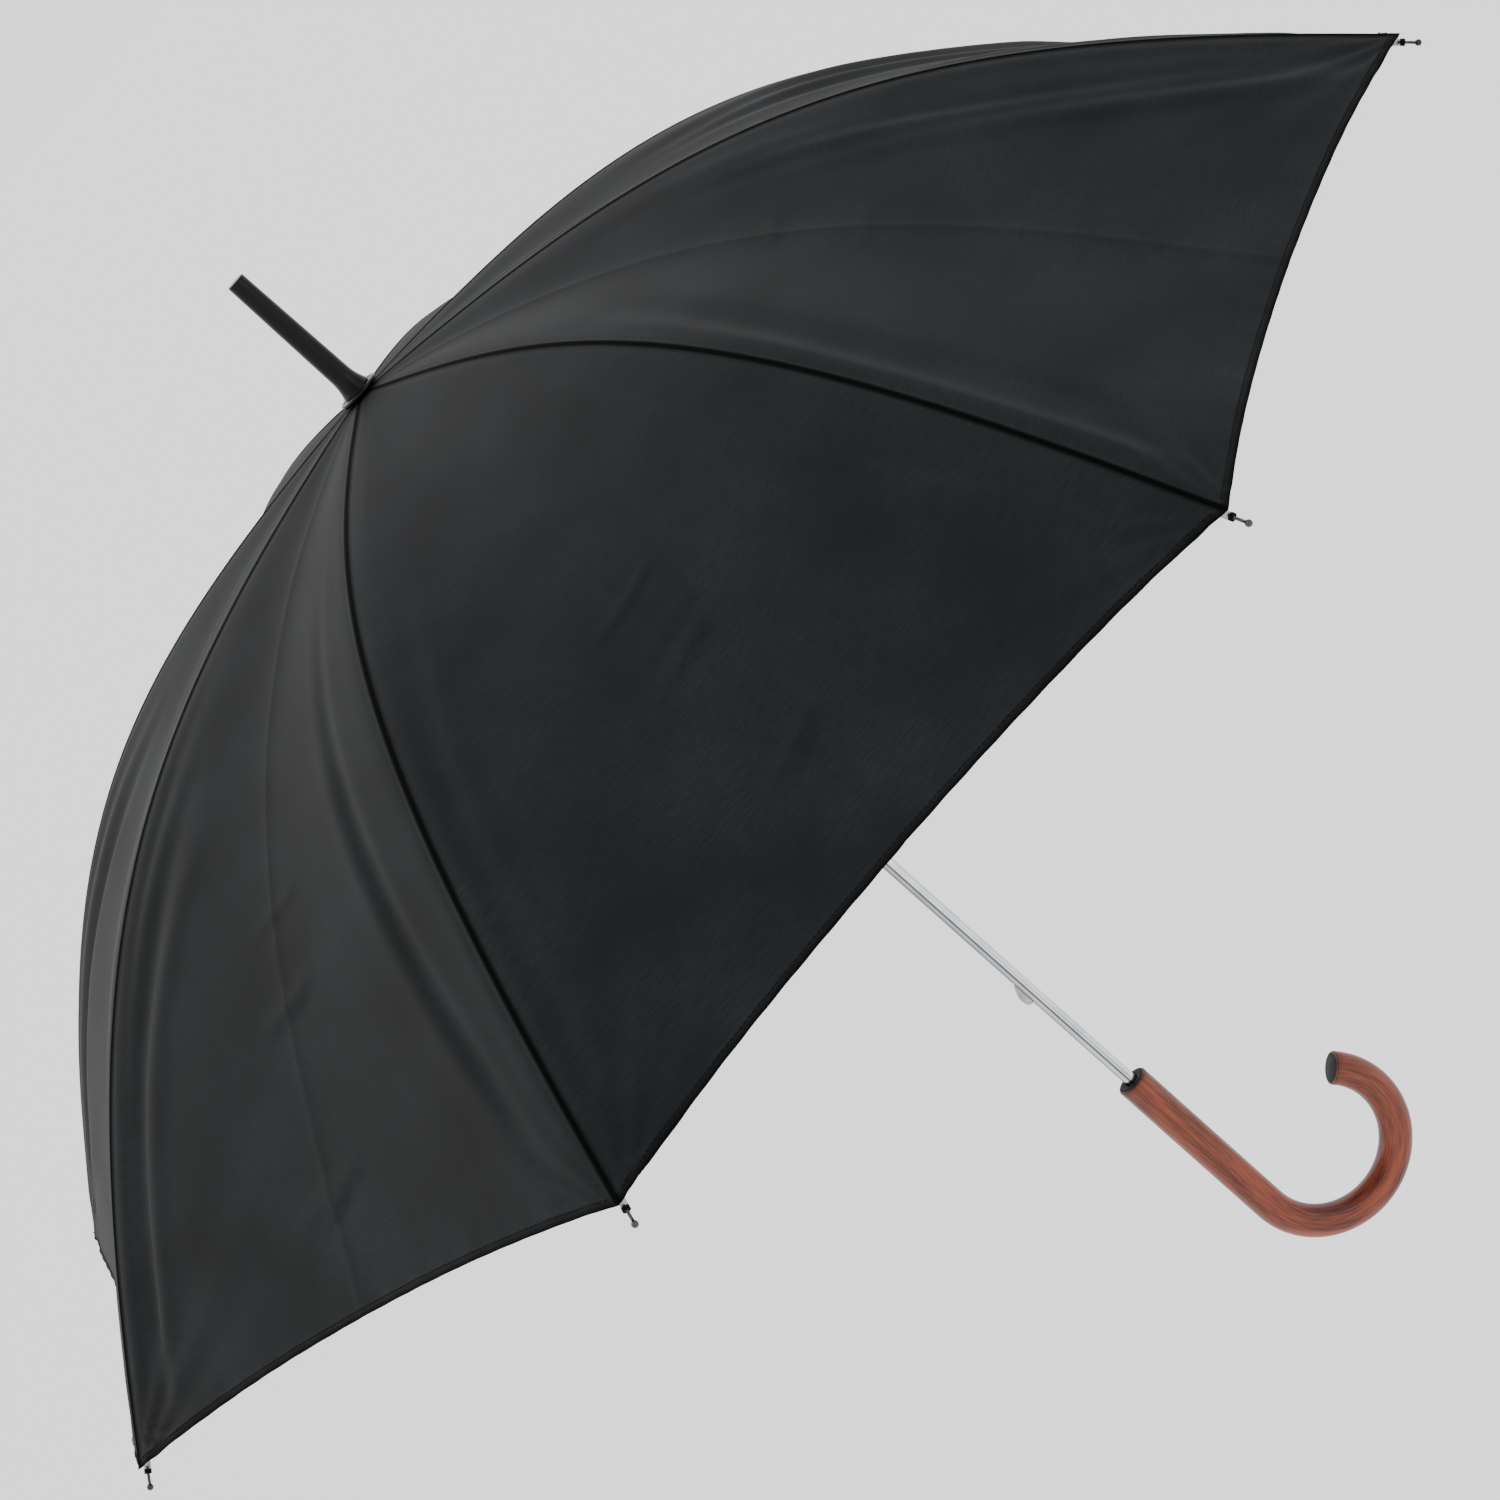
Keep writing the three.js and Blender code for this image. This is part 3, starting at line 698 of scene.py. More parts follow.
@dataclass
class Cover:
    """Eight panels of taffeta, sewn along the ribs and hemmed, in sixteen pieces that follow the ribs."""

    cloth: bpy.types.Material
    thread: bpy.types.Material
    thickness: float = 0.5 * MM
    hole: float = 5.2 * MM
    sag: float = 11 * MM
    hem_rise: float = 15 * MM
    hem_width: float = 5 * MM
    hem_fold: float = 0.45 * MM
    seam_height: float = 0.35 * MM
    seam_width: float = 1.6 * MM
    crease_height: float = 0.7 * MM
    crease_width: float = 3.5 * MM
    washer: float = 12.9 * MM
    lap: float = 16 * MM
    lap_depth: float = 1.1 * MM
    keep: tuple[float, float] = (0.24, 0.17)
    upper_rows: int = 70
    lower_rows: int = 92
    lap_rows: int = 5
    columns: tuple[int, int] = (72, 112)
    stitch_pitch: float = 3.2 * MM
    stitch_length: float = 2.2 * MM
    stitch_radius: float = 0.28 * MM
    fold_seed: int = 11
    tip_folds: int = 9
    crease_puckers: int = 4

    def __post_init__(self) -> None:
        """Works out where the ribs are spliced and where a piece's two lengths meet."""
        first = joint("rib_flex_1").place
        spliced = math.hypot(first.x, first.y)
        self.splice = BOW.nearest(spliced + 0.2 * MM)
        ribs_middle = (1 + math.cos(PANEL_ANGLE)) / 2
        point, along = BOW.point(self.splice), BOW.slope(self.splice)
        steps = np.linspace(self.splice, 0.9, 2000)
        middle = BOW.point(steps) * (ribs_middle, 1)
        self.splice_middle = float(np.interp(0, (middle - point) @ along, steps))
        self.top = BOW.nearest(self.hole)
        self.folds = self.drawn_folds()

    def drawn_folds(self) -> tuple[Fold, ...]:
        """Folds of every panel, from a fixed seed: long ones to the rib tips, and puckers on the crease."""
        random = np.random.default_rng(self.fold_seed)
        made = []
        for panel in range(1, PANELS + 1):
            for _ in range(self.tip_folds):
                side = random.choice((-1, 1))
                reach = random.uniform(0.3, 0.55)
                off = random.uniform(0.1, 0.26)
                start = (reach, 0.5 - side * (0.5 - off))
                end = (random.uniform(0.92, 0.98), 0.5 - side * (0.5 - off / 2.5))
                width = random.uniform(6, 11) * MM
                made.append(
                    Fold(panel, start, end, width, random.choice((-1, 1)) * random.uniform(0.9, 2.2) * MM)
                )
            for _ in range(self.crease_puckers):
                down, half = random.uniform(0.5, 0.95), random.uniform(0.03, 0.1)
                width = random.uniform(4, 7) * MM
                ends = (down + 0.01, 0.5 - half), (down - 0.01, 0.5 + half)
                made.append(Fold(panel, *ends, width, random.uniform(0.4, 1.0) * MM))
        return tuple(made)

    def flat_place(self, t: np.ndarray, u: np.ndarray) -> np.ndarray:
        """Places in a panel as it was cut: across it and down it.

        Args:
            t: Shares down the rib.
            u: Shares across the panel, 0 and 1 on its two ribs.

        Returns:
            The distance from the panel's middle line and down it, on a new last axis.
        """
        chord = 2 * BOW.point(t)[..., 0] * math.sin(PANEL_ANGLE / 2)
        return np.stack([(u - 0.5) * chord, BOW.length(t)], axis=-1)

    def relief(self, panel: int, t: np.ndarray, u: np.ndarray) -> np.ndarray:
        """How far the cloth stands out of its smooth shape.

        Args:
            panel: The panel's number.
            t: Shares down the rib.
            u: Shares across the panel.

        Returns:
            Heights, in the shape of t.
        """
        flat = self.flat_place(t, u)
        chord = 2 * BOW.point(t)[..., 0] * math.sin(PANEL_ANGLE / 2)
        from_rib = chord * np.minimum(u, 1 - u)
        slack = np.clip(from_rib / (14 * MM), 0, 1) ** 1.5
        height = np.zeros_like(t)
        for fold in (f for f in self.folds if f.panel == panel):
            a, b = (self.flat_place(np.array(e[0]), np.array(e[1])) for e in (fold.start, fold.end))
            run = b - a
            size = np.linalg.norm(run)
            along = ((flat - a) @ run) / size**2
            bow = 0.03 * size * np.sin(np.clip(along, 0, 1) * math.pi)
            off = (flat - a) @ (np.array([-run[1], run[0]]) / size) - bow
            fade = np.clip(along / 0.45 + 0.3, 0, 1) * np.clip((1 - along) / 0.3 + 0.4, 0, 1)
            fade = fade * fade * (3 - 2 * fade)
            across = off / fold.width
            height += fold.height * fade * (np.exp(-across**2) - 0.45 * np.exp(-((across - 1.5) ** 2)))
        # Slow waves, different in each panel, and a fan of small folds from each tip.
        phase = panel * 2.4
        x, y = flat[..., 0], flat[..., 1]
        height += 0.9 * MM * np.sin(19 * x + 8 * y + phase) * np.sin(13 * y - 6 * x + 1.7 * phase)
        height += 0.25 * MM * np.sin(47 * x - 21 * y + 2 * phase) * np.sin(31 * y + 1.3 * phase)
        to_tip = BOW.length(np.array(1.0)) - y
        for side, sign in ((u, 1), (1 - u, -1)):
            off = side * chord
            bearing = np.arctan2(off, to_tip + 6 * MM)
            distance = np.hypot(off, to_tip)
            fan = np.sin(bearing * 17 + phase * sign) * np.exp(-distance / (85 * MM))
            height += 0.8 * MM * fan * np.clip(distance / (15 * MM), 0, 1)
        height *= slack
        # The pressed crease down the middle, and the rolled seam on each rib, which end under the washer.
        middle = np.abs(u - 0.5) * chord
        free = np.clip((BOW.point(t)[..., 0] - self.washer) / (30 * MM), 0, 1)
        height += free * self.crease_height * np.exp(-middle / self.crease_width)
        height += free * self.seam_height * np.exp(-((from_rib / self.seam_width) ** 2))
        height -= free * 0.3 * MM * np.exp(-(((from_rib - 3.5 * MM) / (1.4 * MM)) ** 2))
        # The cloth stands up a little on both sides of the rib that it is stretched over.
        steep = np.clip((t - 0.4) / 0.3, 0, 1)
        height += steep * 0.6 * MM * np.exp(-(((from_rib - 9 * MM) / (5.5 * MM)) ** 2))
        # The hem is turned over twice and puckers a little along its stitches.
        edge = (self.hem_end(u) - t) / BOW.share(0.97, 1.0)
        turned_up = 1 / (1 + np.exp(np.clip((edge - self.hem_width) / (0.5 * MM), -40, 40)))
        pucker = 0.25 * MM * np.sin(x / (3.5 * MM)) * np.exp(-edge / (9 * MM))
        return height + self.hem_fold * turned_up + pucker * slack

    def hem_end(self, u: np.ndarray) -> np.ndarray:
        """The share down the rib at which the cloth ends, for shares across the panel."""
        from_rib = 2 * np.minimum(u, 1 - u)
        return 1 - BOW.share(0.99, self.hem_rise) * (1 - (1 - from_rib) ** 2)

    def surface(
        self, panel: int, t: np.ndarray, u: np.ndarray, lift: float | np.ndarray = 0.0
    ) -> np.ndarray:
        """Points of the cover.

        Args:
            panel: The panel's number; it lies between the ribs of that number and the next.
            t: Shares down the rib.
            u: Shares across the panel.
            lift: How far out of the cloth.

        Returns:
            Places, on a new last axis.
        """
        line, normal = BOW.point(t), BOW.normal(t)
        left, right = rib_azimuth(panel), rib_azimuth(panel + 1)
        bearing = left + u * PANEL_ANGLE
        drawn = self.sag * np.sin(0.8 * math.pi * t) * np.sin(math.pi * u) ** 2
        out = lift - drawn + self.relief(panel, t, u)
        chord_x = (1 - u) * math.cos(left) + u * math.cos(right)
        chord_y = (1 - u) * math.sin(left) + u * math.sin(right)
        x = line[..., 0] * chord_x + out * normal[..., 0] * np.cos(bearing)
        y = line[..., 0] * chord_y + out * normal[..., 0] * np.sin(bearing)
        return np.stack([x, y, line[..., 1] + out * normal[..., 1]], axis=-1)

    def round_rib(
        self, rib: int, t: np.ndarray, w: np.ndarray, lift: float | np.ndarray = 0.0
    ) -> np.ndarray:
        """Points of the cover on both sides of a rib.

        Args:
            rib: The rib's number.
            t: Shares down the rib.
            w: Places across, -1 and 1 on the middles of the panels beside the rib.
            lift: How far out of the cloth.

        Returns:
            Places, on a new last axis.
        """
        before = self.surface((rib - 2) % PANELS + 1, t, 1 + np.minimum(w, 0) / 2, lift)
        after = self.surface(rib, t, np.maximum(w, 0) / 2, lift)
        return np.where(w[..., None] < 0, before, after)

    def normals(self, rib: int, t: np.ndarray, w: np.ndarray) -> np.ndarray:
        """Directions out of the cover, the same on both sides of every joint between pieces.

        Args:
            rib: The rib's number.
            t: Shares down the rib.
            w: Places across.

        Returns:
            Unit directions, on a new last axis.
        """
        down, side = 0.002, 1.5 * MM / (BOW.point(t)[..., 0] * math.sin(PANEL_ANGLE / 2))
        along = self.round_rib(rib, t + down, w) - self.round_rib(rib, t - down, w)
        across = self.round_rib(rib, t, w + side) - self.round_rib(rib, t, w - side)
        out = np.cross(along, across)
        return out / np.linalg.norm(out, axis=-1, keepdims=True)

    def painted_seam_shade(self, t: np.ndarray, w: np.ndarray) -> np.ndarray:
        """How much painted shade each place gets: a narrow dark band along each rib seam and along the hem.
        """
        half = BOW.point(t)[..., 0] * math.sin(PANEL_ANGLE / 2)
        from_rib = np.abs(w) * half
        edge = (self.hem_end(np.abs(w) / 2) - t) / BOW.share(0.97, 1.0)
        seam = np.clip((2.8 * MM - from_rib) / (1.4 * MM), 0, 1)
        hem = np.clip((3.4 * MM - edge) / (1.2 * MM), 0, 1)
        return np.maximum(seam, hem)

    def seam_end(self, w: np.ndarray) -> np.ndarray:
        """The share down the rib at which the upper length meets the lower, across a piece."""
        return self.splice + (self.splice_middle - self.splice) * w * w

    def across(self, part: CoverPart) -> np.ndarray:
        """Places across a piece from -1 to 1, closer together by the rib and by the creases."""
        even = np.linspace(-1, 1, self.columns[part is CoverPart.LOWER] + 1)
        near_rib = np.array([0.006, 0.012, 0.02, 0.032])
        near_crease = 1 - np.array([0.012, 0.03])
        extra = np.concatenate([near_rib, -near_rib, near_crease, -near_crease])
        return np.unique(np.round(np.concatenate([even, extra]), 6))

    def rows(self, part: CoverPart, w: np.ndarray) -> tuple[np.ndarray, np.ndarray]:
        """Shares down the rib for each row of a piece, and how deep each row is tucked under.

        Args:
            part: Which length.
            w: Places across.

        Returns:
            Shares and depths, both as rows by columns.
        """
        seam = self.seam_end(w)
        if part is CoverPart.UPPER:
            run = np.linspace(0, 1, self.upper_rows + 1)[:, None]
            return self.top + (seam - self.top) * run, np.zeros((self.upper_rows + 1, len(w)))
        hem = self.hem_end(np.abs(w) / 2)
        run = np.linspace(0, 1, self.lower_rows + 1) ** 0.97
        shown = seam + (hem - seam) * run[:, None]
        tuck = np.linspace(1, 0, self.lap_rows, endpoint=False)[:, None]
        hidden = seam - BOW.share(self.splice, self.lap) * tuck
        depths = np.minimum(tuck * 4, 1) * self.lap_depth * np.ones_like(hidden)
        return np.vstack([hidden, shown]), np.vstack([depths, np.zeros_like(shown)])

    def piece(self, rib: int, part: CoverPart) -> bpy.types.Object:
        """One cover piece: the cloth between the middles of the panels on both sides of a rib.

        Args:
            rib: The rib's number.
            part: Which length.

        Returns:
            The piece, a thin closed sheet.
        """
        w = self.across(part)
        t, depth = self.rows(part, w)
        w = np.broadcast_to(w, t.shape)
        layers = [self.round_rib(rib, t, w, lift - depth) for lift in (0.0, -self.thickness)]
        count = t.size
        corners = np.concatenate([layer.reshape(-1, 3) for layer in layers])
        piece = mesh_piece(
            f"cover_{part.value}_cloth_{rib}", corners, self.sheet_faces(*t.shape), self.cloth
        )
        mesh = piece.data
        loops = np.empty(len(mesh.loops), int)
        mesh.loops.foreach_get("vertex_index", loops)
        flats = self.flat_place(t, np.where(w < 0, 1 + w / 2, w / 2)).reshape(-1, 2)
        mesh.uv_layers.new(name="cut").uv.foreach_set("vector", flats[loops % count].ravel())
        # The painted shade along the seams and the hem goes to the cloth's material as the sewn attribute.
        dark = np.tile(self.painted_seam_shade(t, w).ravel(), 2)
        mesh.attributes.new("sewn", "FLOAT", "POINT").data.foreach_set("value", dark)
        outside = self.normals(rib, t, w).reshape(-1, 3)
        shade = np.concatenate([outside, -outside])[loops]
        rim = 4 * (len(mesh.polygons) - self.rim_faces(*t.shape))
        mesh.polygons.foreach_set("use_smooth", [i * 4 < rim for i in range(len(mesh.polygons))])
        faces = np.repeat([tuple(p.normal) for p in mesh.polygons], 4, axis=0)
        shade[rim:] = faces[rim:]
        mesh.normals_split_custom_set(shade.tolist())
        return piece

    @staticmethod
    def rim_faces(rows: int, columns: int) -> int:
        """How many faces the rim of a sheet over a grid has."""
        return 2 * (rows + columns - 2)

    @staticmethod
    def sheet_faces(rows: int, columns: int) -> list[tuple[int, int, int, int]]:
        """Faces of a thin closed sheet over a grid, outside first and inside after it."""
        count = rows * columns
        faces = []
        for i in range(rows - 1):
            for j in range(columns - 1):
                a = i * columns + j
                faces.append((a, a + columns, a + columns + 1, a + 1))
                faces.append((a + count, a + 1 + count, a + columns + 1 + count, a + columns + count))
        edges = [(i * columns, (i + 1) * columns) for i in range(rows - 1)]
        edges += [((i + 1) * columns + columns - 1, i * columns + columns - 1) for i in range(rows - 1)]
        edges += [(j + 1, j) for j in range(columns - 1)]
        last = (rows - 1) * columns
        edges += [(last + j, last + j + 1) for j in range(columns - 1)]
        faces += [(a, a + count, b + count, b) for a, b in edges]
        return faces

    def stitch_line(self, rib: int) -> bpy.types.Object:
        """The hem's sewing line under one piece, as a bare path for the stitches to follow."""
        corners, edges = [], []
        for sign in (-1, 1):
            w = sign * np.linspace(0.03, 0.995, 90)
            u = np.where(w < 0, 1 + w / 2, w / 2)
            t = self.hem_end(u) - BOW.share(0.97, 0.8 * self.hem_width)
            panel = rib if sign > 0 else (rib - 2) % PANELS + 1
            start = len(corners)
            corners += self.surface(panel, t, u, 0.1 * MM).tolist()
            edges += [(start + i, start + i + 1) for i in range(len(w) - 1)]
        mesh = bpy.data.meshes.new(f"hem_stitches_{rib}")
        mesh.from_pydata(corners, edges, [])
        piece = bpy.data.objects.new(f"hem_stitches_{rib}", mesh)
        bpy.context.scene.collection.objects.link(piece)
        return piece

    def build(self) -> None:
        """Builds every cover piece with its hem stitches and sets it on its rib."""
        tree = stitch_tree()
        for rib in range(1, PANELS + 1):
            for part, body in ((CoverPart.UPPER, f"rib_inner_{rib}"), (CoverPart.LOWER, f"rib_outer_{rib}")):
                piece = self.piece(rib, part)
                finished(piece, body, "black_taffeta", f"cover_{part.value}_{rib}")
                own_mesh(piece)
            stitches = stitched(self.stitch_line(rib), tree, self.thread, self)
            finished(stitches, f"rib_outer_{rib}", "black_taffeta")
            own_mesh(stitches)


# ---- Stitches --------------------------------------------------------------------------------------


def stitch_tree() -> bpy.types.NodeTree:
    """Geometry nodes that sew a run of stitches along a path.

    Returns:
        The tree, with its path, pitch, stitch length, thread radius and thread as inputs.
    """
    tree = bpy.data.node_groups.new("Run of stitches", "GeometryNodeTree")
    face = tree.interface
    face.new_socket("Path", in_out="INPUT", socket_type="NodeSocketGeometry")
    for name in ("Pitch", "Stitch length", "Thread radius"):
        face.new_socket(name, in_out="INPUT", socket_type="NodeSocketFloat")
    face.new_socket("Thread", in_out="INPUT", socket_type="NodeSocketMaterial")
    face.new_socket("Stitches", in_out="OUTPUT", socket_type="NodeSocketGeometry")
    given = add_node(tree, "NodeGroupInput").outputs
    path = add_node(tree, "GeometryNodeMeshToCurve", {"Mesh": given["Path"]}).outputs["Curve"]
    points = add_node(
        tree, "GeometryNodeCurveToPoints", {"Curve": path, "Length": given["Pitch"]}, mode="LENGTH"
    )
    stitch = add_node(
        tree, "GeometryNodeMeshCylinder",
        {"Vertices": 6, "Radius": given["Thread radius"], "Depth": given["Stitch length"]},
    ).outputs["Mesh"]
    along = add_node(
        tree, "FunctionNodeAlignRotationToVector", {"Vector": points.outputs["Tangent"]}, axis="Z"
    ).outputs["Rotation"]
    sewn = add_node(
        tree, "GeometryNodeInstanceOnPoints",
        {"Points": points.outputs["Points"], "Instance": stitch, "Rotation": along},
    ).outputs["Instances"]
    solid = add_node(tree, "GeometryNodeRealizeInstances", {"Geometry": sewn}).outputs["Geometry"]
    dyed = add_node(tree, "GeometryNodeSetMaterial", {"Geometry": solid, "Material": given["Thread"]})
    add_node(tree, "NodeGroupOutput", {"Stitches": dyed.outputs["Geometry"]})
    return tree


def stitched(
    path: bpy.types.Object, tree: bpy.types.NodeTree, thread: bpy.types.Material, sizes: "Cover"
) -> bpy.types.Object:
    """Sews a path with the stitch nodes and keeps the stitches as plain mesh.

    Args:
        path: The path's object, which becomes the stitches.
        tree: The stitch nodes.
        thread: The thread's material.
        sizes: Where the stitch sizes are.

    Returns:
        The stitches.
    """
    modifier = path.modifiers.new("stitches", "NODES")
    modifier.node_group = tree
    values = {
        "Pitch": sizes.stitch_pitch,
        "Stitch length": sizes.stitch_length,
        "Thread radius": sizes.stitch_radius,
        "Thread": thread,
    }
    for item in tree.interface.items_tree:
        if item.in_out == "INPUT" and item.name in values:
            modifier[item.identifier] = values[item.name]
    return baked(path)


# ---- Ribs, stretchers and tips ---------------------------------------------------------------------


@dataclass(frozen=True)
class Channel:
    """A pressed channel section that opens downwards."""

    width: float
    height: float
    wall: float

    def outline(self) -> list[tuple[float, float]]:
        """Corners of the section: across, and down from its back, with the back's edges rounded."""
        half, inside, r = self.width / 2, self.width / 2 - self.wall, 0.8 * self.wall
        arc = [(half - r + r * math.sin(a), r - r * math.cos(a)) for a in np.linspace(0, math.pi / 2, 4)]
        back = arc + [(half, self.height), (inside, self.height), (inside, self.wall)]
        return back + [(-x, y) for x, y in reversed(back)]


def swept(
    name: str, section: Sequence[tuple[float, float]], path: np.ndarray, material: bpy.types.Material
) -> bpy.types.Object:
    """A section drawn along a path in the XZ plane.

    Args:
        name: The piece's name.
        section: Corners: across the path, and down from it.
        path: Places along it as rows of x and z.
        material: Its material.

    Returns:
        The piece.
    """
    along = np.gradient(path, axis=0)
    along /= np.linalg.norm(along, axis=1, keepdims=True)
    down = np.stack([along[:, 1], -along[:, 0]], axis=1)
    corners = [
        (
            place[0] + y * drop[0], x, place[1] + y * drop[1]
        ) for place, drop in zip(path, down) for x, y in section
    ]
    return outward(mesh_piece(name, corners, joined_rings(len(path), len(section), False), material))


def eye(name: str, reach: float, half: float, radius: float, hole: float, thickness: float,
        material: bpy.types.Material) -> bpy.types.Object:
    """A flat shank with a round eye at the origin, reaching along +X in the XZ plane.

    Args:
        name: The piece's name.
        reach: How far the shank reaches.
        half: Half its height.
        radius: The eye's radius.
        hole: The hole's radius.
        thickness: The plate's thickness.
        material: Its material.

    Returns:
        The piece.
    """
    start = math.asin(half / radius)
    sides = 28
    angles = np.linspace(start, math.tau - start, sides)
    rim = [(radius * math.cos(a), radius * math.sin(a)) for a in angles] + [(reach, -half), (reach, half)]
    ring_angles = list(angles) + [math.tau - start / 2, start / 2]
    ring = [(hole * math.cos(a), hole * math.sin(a)) for a in ring_angles]
    count = len(rim)
    corners = [(x, y, z) for y in (-thickness / 2, thickness / 2) for x, z in rim + ring]
    faces = []
    for j in range(count):
        k = (j + 1) % count
        near, far = 0, 2 * count
        faces.append((near + j, near + k, near + count + k, near + count + j))
        faces.append((far + k, far + j, far + count + j, far + count + k))
        faces.append((near + k, near + j, far + j, far + k))
        faces.append((near + count + j, near + count + k, far + count + k, far + count + j))
    return outward(mesh_piece(name, corners, faces, material, flat=True))


@dataclass
class RibFrame:
    """The ribs in two lengths, the stretchers and the rib tips."""

    steel: bpy.types.Material
    tip_steel: bpy.types.Material
    thread: bpy.types.Material
    rib: Channel = Channel(3 * MM, 3 * MM, 0.6 * MM)
    stretcher: Channel = Channel(2.6 * MM, 2.4 * MM, 0.5 * MM)
    rib_depth: float = 2.5 * MM
    eye_radius: float = 2 * MM
    eye_thickness: float = 1.2 * MM
    eye_hole: float = 0.95 * MM
    rivet_hole: float = 1.15 * MM
    eye_reach: float = 6.5 * MM
    joint_reach: float = 8 * MM
    overlap: float = 6 * MM
    rivet_radius: float = 0.8 * MM
    rivet_head: float = 1.3 * MM
    joint_drop: float = 5.2 * MM
    cheek: tuple[float, float] = (4.5 * MM, 2 * MM)
    gap: float = 0.3 * MM

    def rib_path(self, start: float, end: float, steps: int) -> np.ndarray:
        """The back of a rib between two shares of the bow, as rows of x and z."""
        return BOW.under(np.linspace(start, end, steps), self.rib_depth)

    def inner(self, number: int) -> bpy.types.Object:
        """A rib's inner length with its eye and the cheeks that hold the stretcher's rivet."""
        crown = joint(f"rib_fold_{number}").place
        rivet = joint(f"stretcher_fold_{number}").place
        splice = joint(f"rib_flex_{number}").place
        pin = Vector((math.hypot(crown.x, crown.y), 0, crown.z))
        hole = Vector((math.hypot(rivet.x, rivet.y), 0, rivet.z))
        end = BOW.nearest(math.hypot(splice.x, splice.y) + 0.9 * MM)
        start = BOW.nearest(pin.x + self.eye_reach + 0.1 * MM)
        parts = [swept("channel", self.rib.outline(), self.rib_path(start, end, 40), self.steel)]
        inside = BOW.under(start, self.rib_depth + self.rib.height / 2)
        run = Vector((inside[0], 0, inside[1])) - pin
        shank = eye("eye", run.length + self.overlap, (self.rib.height - self.rib.wall) / 2, self.eye_radius,
                    self.eye_hole, self.eye_thickness, self.steel)
        aim = Matrix.Rotation(math.atan2(-run.z, run.x), 4, "Y")
        parts.append(placed(shank, Matrix.Translation(pin) @ aim))
        slope = BOW.slope(BOW.nearest(hole.x - 3 * MM))
        aim = Matrix.Translation(hole) @ Matrix.Rotation(math.atan2(-slope[1], slope[0]), 4, "Y")
        offset = (self.rib.width - self.rib.wall) / 2
        for side in (-offset, offset):
            parts.append(placed(self.cheek_plate(side), aim))
        head = [(0.2 * MM, -1), (self.rivet_head, -0.55), (self.rivet_head, 0), (self.rivet_radius, 0)]
        half = self.rib.width / 2
        outline = [(r, half - z * 0.45 * MM) for r, z in head]
        outline += [(r, -z) for r, z in reversed(outline)]
        pivot = capped("rivet", outline, self.steel, 20)
        parts.append(placed(pivot, aim @ Matrix.Rotation(math.pi / 2, 4, "X")))
        return merged(f"rib_inner_steel_{number}", parts)

    def cheek_plate(self, side: float) -> bpy.types.Object:
        """One cheek beside a rivet at the origin, from the rib's flange down round the rivet."""
        half, below = self.cheek
        top = self.joint_drop - self.rib.height / 2
        lower = [(-below * math.cos(a), -below * math.sin(a)) for a in np.linspace(0, math.pi, 13)]
        outline = [(-half, top), *lower, (half, top)]
        count = len(outline)
        corners = [(x, side + y, z) for y in (-self.rib.wall / 2, self.rib.wall / 2) for x, z in outline]
        faces = joined_rings(2, count, False)
        return outward(mesh_piece("cheek", corners, faces, self.steel, flat=True))

    def outer(self, number: int) -> bpy.types.Object:
        """A rib's outer length."""
        splice = joint(f"rib_flex_{number}").place
        start = BOW.nearest(math.hypot(splice.x, splice.y) + 0.9 * MM) + BOW.share(0.45, self.gap)
        return swept(
            f"rib_outer_steel_{number}", self.rib.outline(), self.rib_path(start, 1, 60), self.steel
        )

    def strut(self, number: int) -> bpy.types.Object:
        """A stretcher, from its eye on the runner's wire to its eye on the rivet."""
        rivet = joint(f"stretcher_fold_{number}").place
        crown = joint(f"rib_fold_{number}").place
        start = Vector((math.hypot(crown.x, crown.y), 0, 2 * rivet.z - crown.z))
        end = Vector((math.hypot(rivet.x, rivet.y), 0, rivet.z))
        length = (end - start).length
        back = self.stretcher.height / 2
        path = np.array([(x, back) for x in np.linspace(self.eye_reach, length - self.joint_reach, 3)])
        half = (self.stretcher.height - self.stretcher.wall) / 2
        low = eye(
            "low", self.eye_reach + self.overlap, half, self.eye_radius, self.eye_hole,
            self.eye_thickness, self.steel,
        )
        high = eye(
            "high", self.joint_reach + self.overlap, half, self.eye_radius, self.rivet_hole,
            self.eye_thickness, self.steel,
        )
        placed(high, Matrix.Translation((length, 0, 0)) @ Matrix.Rotation(math.pi, 4, "Z"))
        piece = merged(f"stretcher_steel_{number}", [
            swept("bar", self.stretcher.outline(), path, self.steel), low, high
        ])
        run = end - start
        return placed(piece, Matrix.Translation(start) @ Matrix.Rotation(math.atan2(-run.z, run.x), 4, "Y"))

    def tip_place(self) -> Matrix:
        """Where a rib tip goes, with +Z out along the rib."""
        place = BOW.under(1.0, self.rib_depth + self.rib.height / 2)
        slope = BOW.slope(1.0)
        turn = Matrix.Rotation(math.atan2(slope[0], slope[1]), 4, "Y")
        return Matrix.Translation((place[0], 0, place[1])) @ turn

    def tip(self, number: int) -> bpy.types.Object:
        """A rib tip: a shank inside the rib, a collar, a pin and a ball."""
        ball, pin, middle = 1.8 * MM, 0.8 * MM, 9.8 * MM
        angles = np.linspace(math.asin(pin / ball), math.pi - 0.06, 12)
        outline = [(0.3 * MM, -6 * MM), (0.5 * MM, -5.8 * MM), (0.5 * MM, self.gap), (1.5 * MM, self.gap),
                   (1.7 * MM, 0.5 * MM), (1.7 * MM, 1.8 * MM), (1.2 * MM, 2.3 * MM), (pin, 2.7 * MM)]
        outline += [(ball * math.sin(a), middle - ball * math.cos(a)) for a in angles]
        return placed(capped(f"rib_tip_steel_{number}", outline, self.tip_steel, 28), self.tip_place())

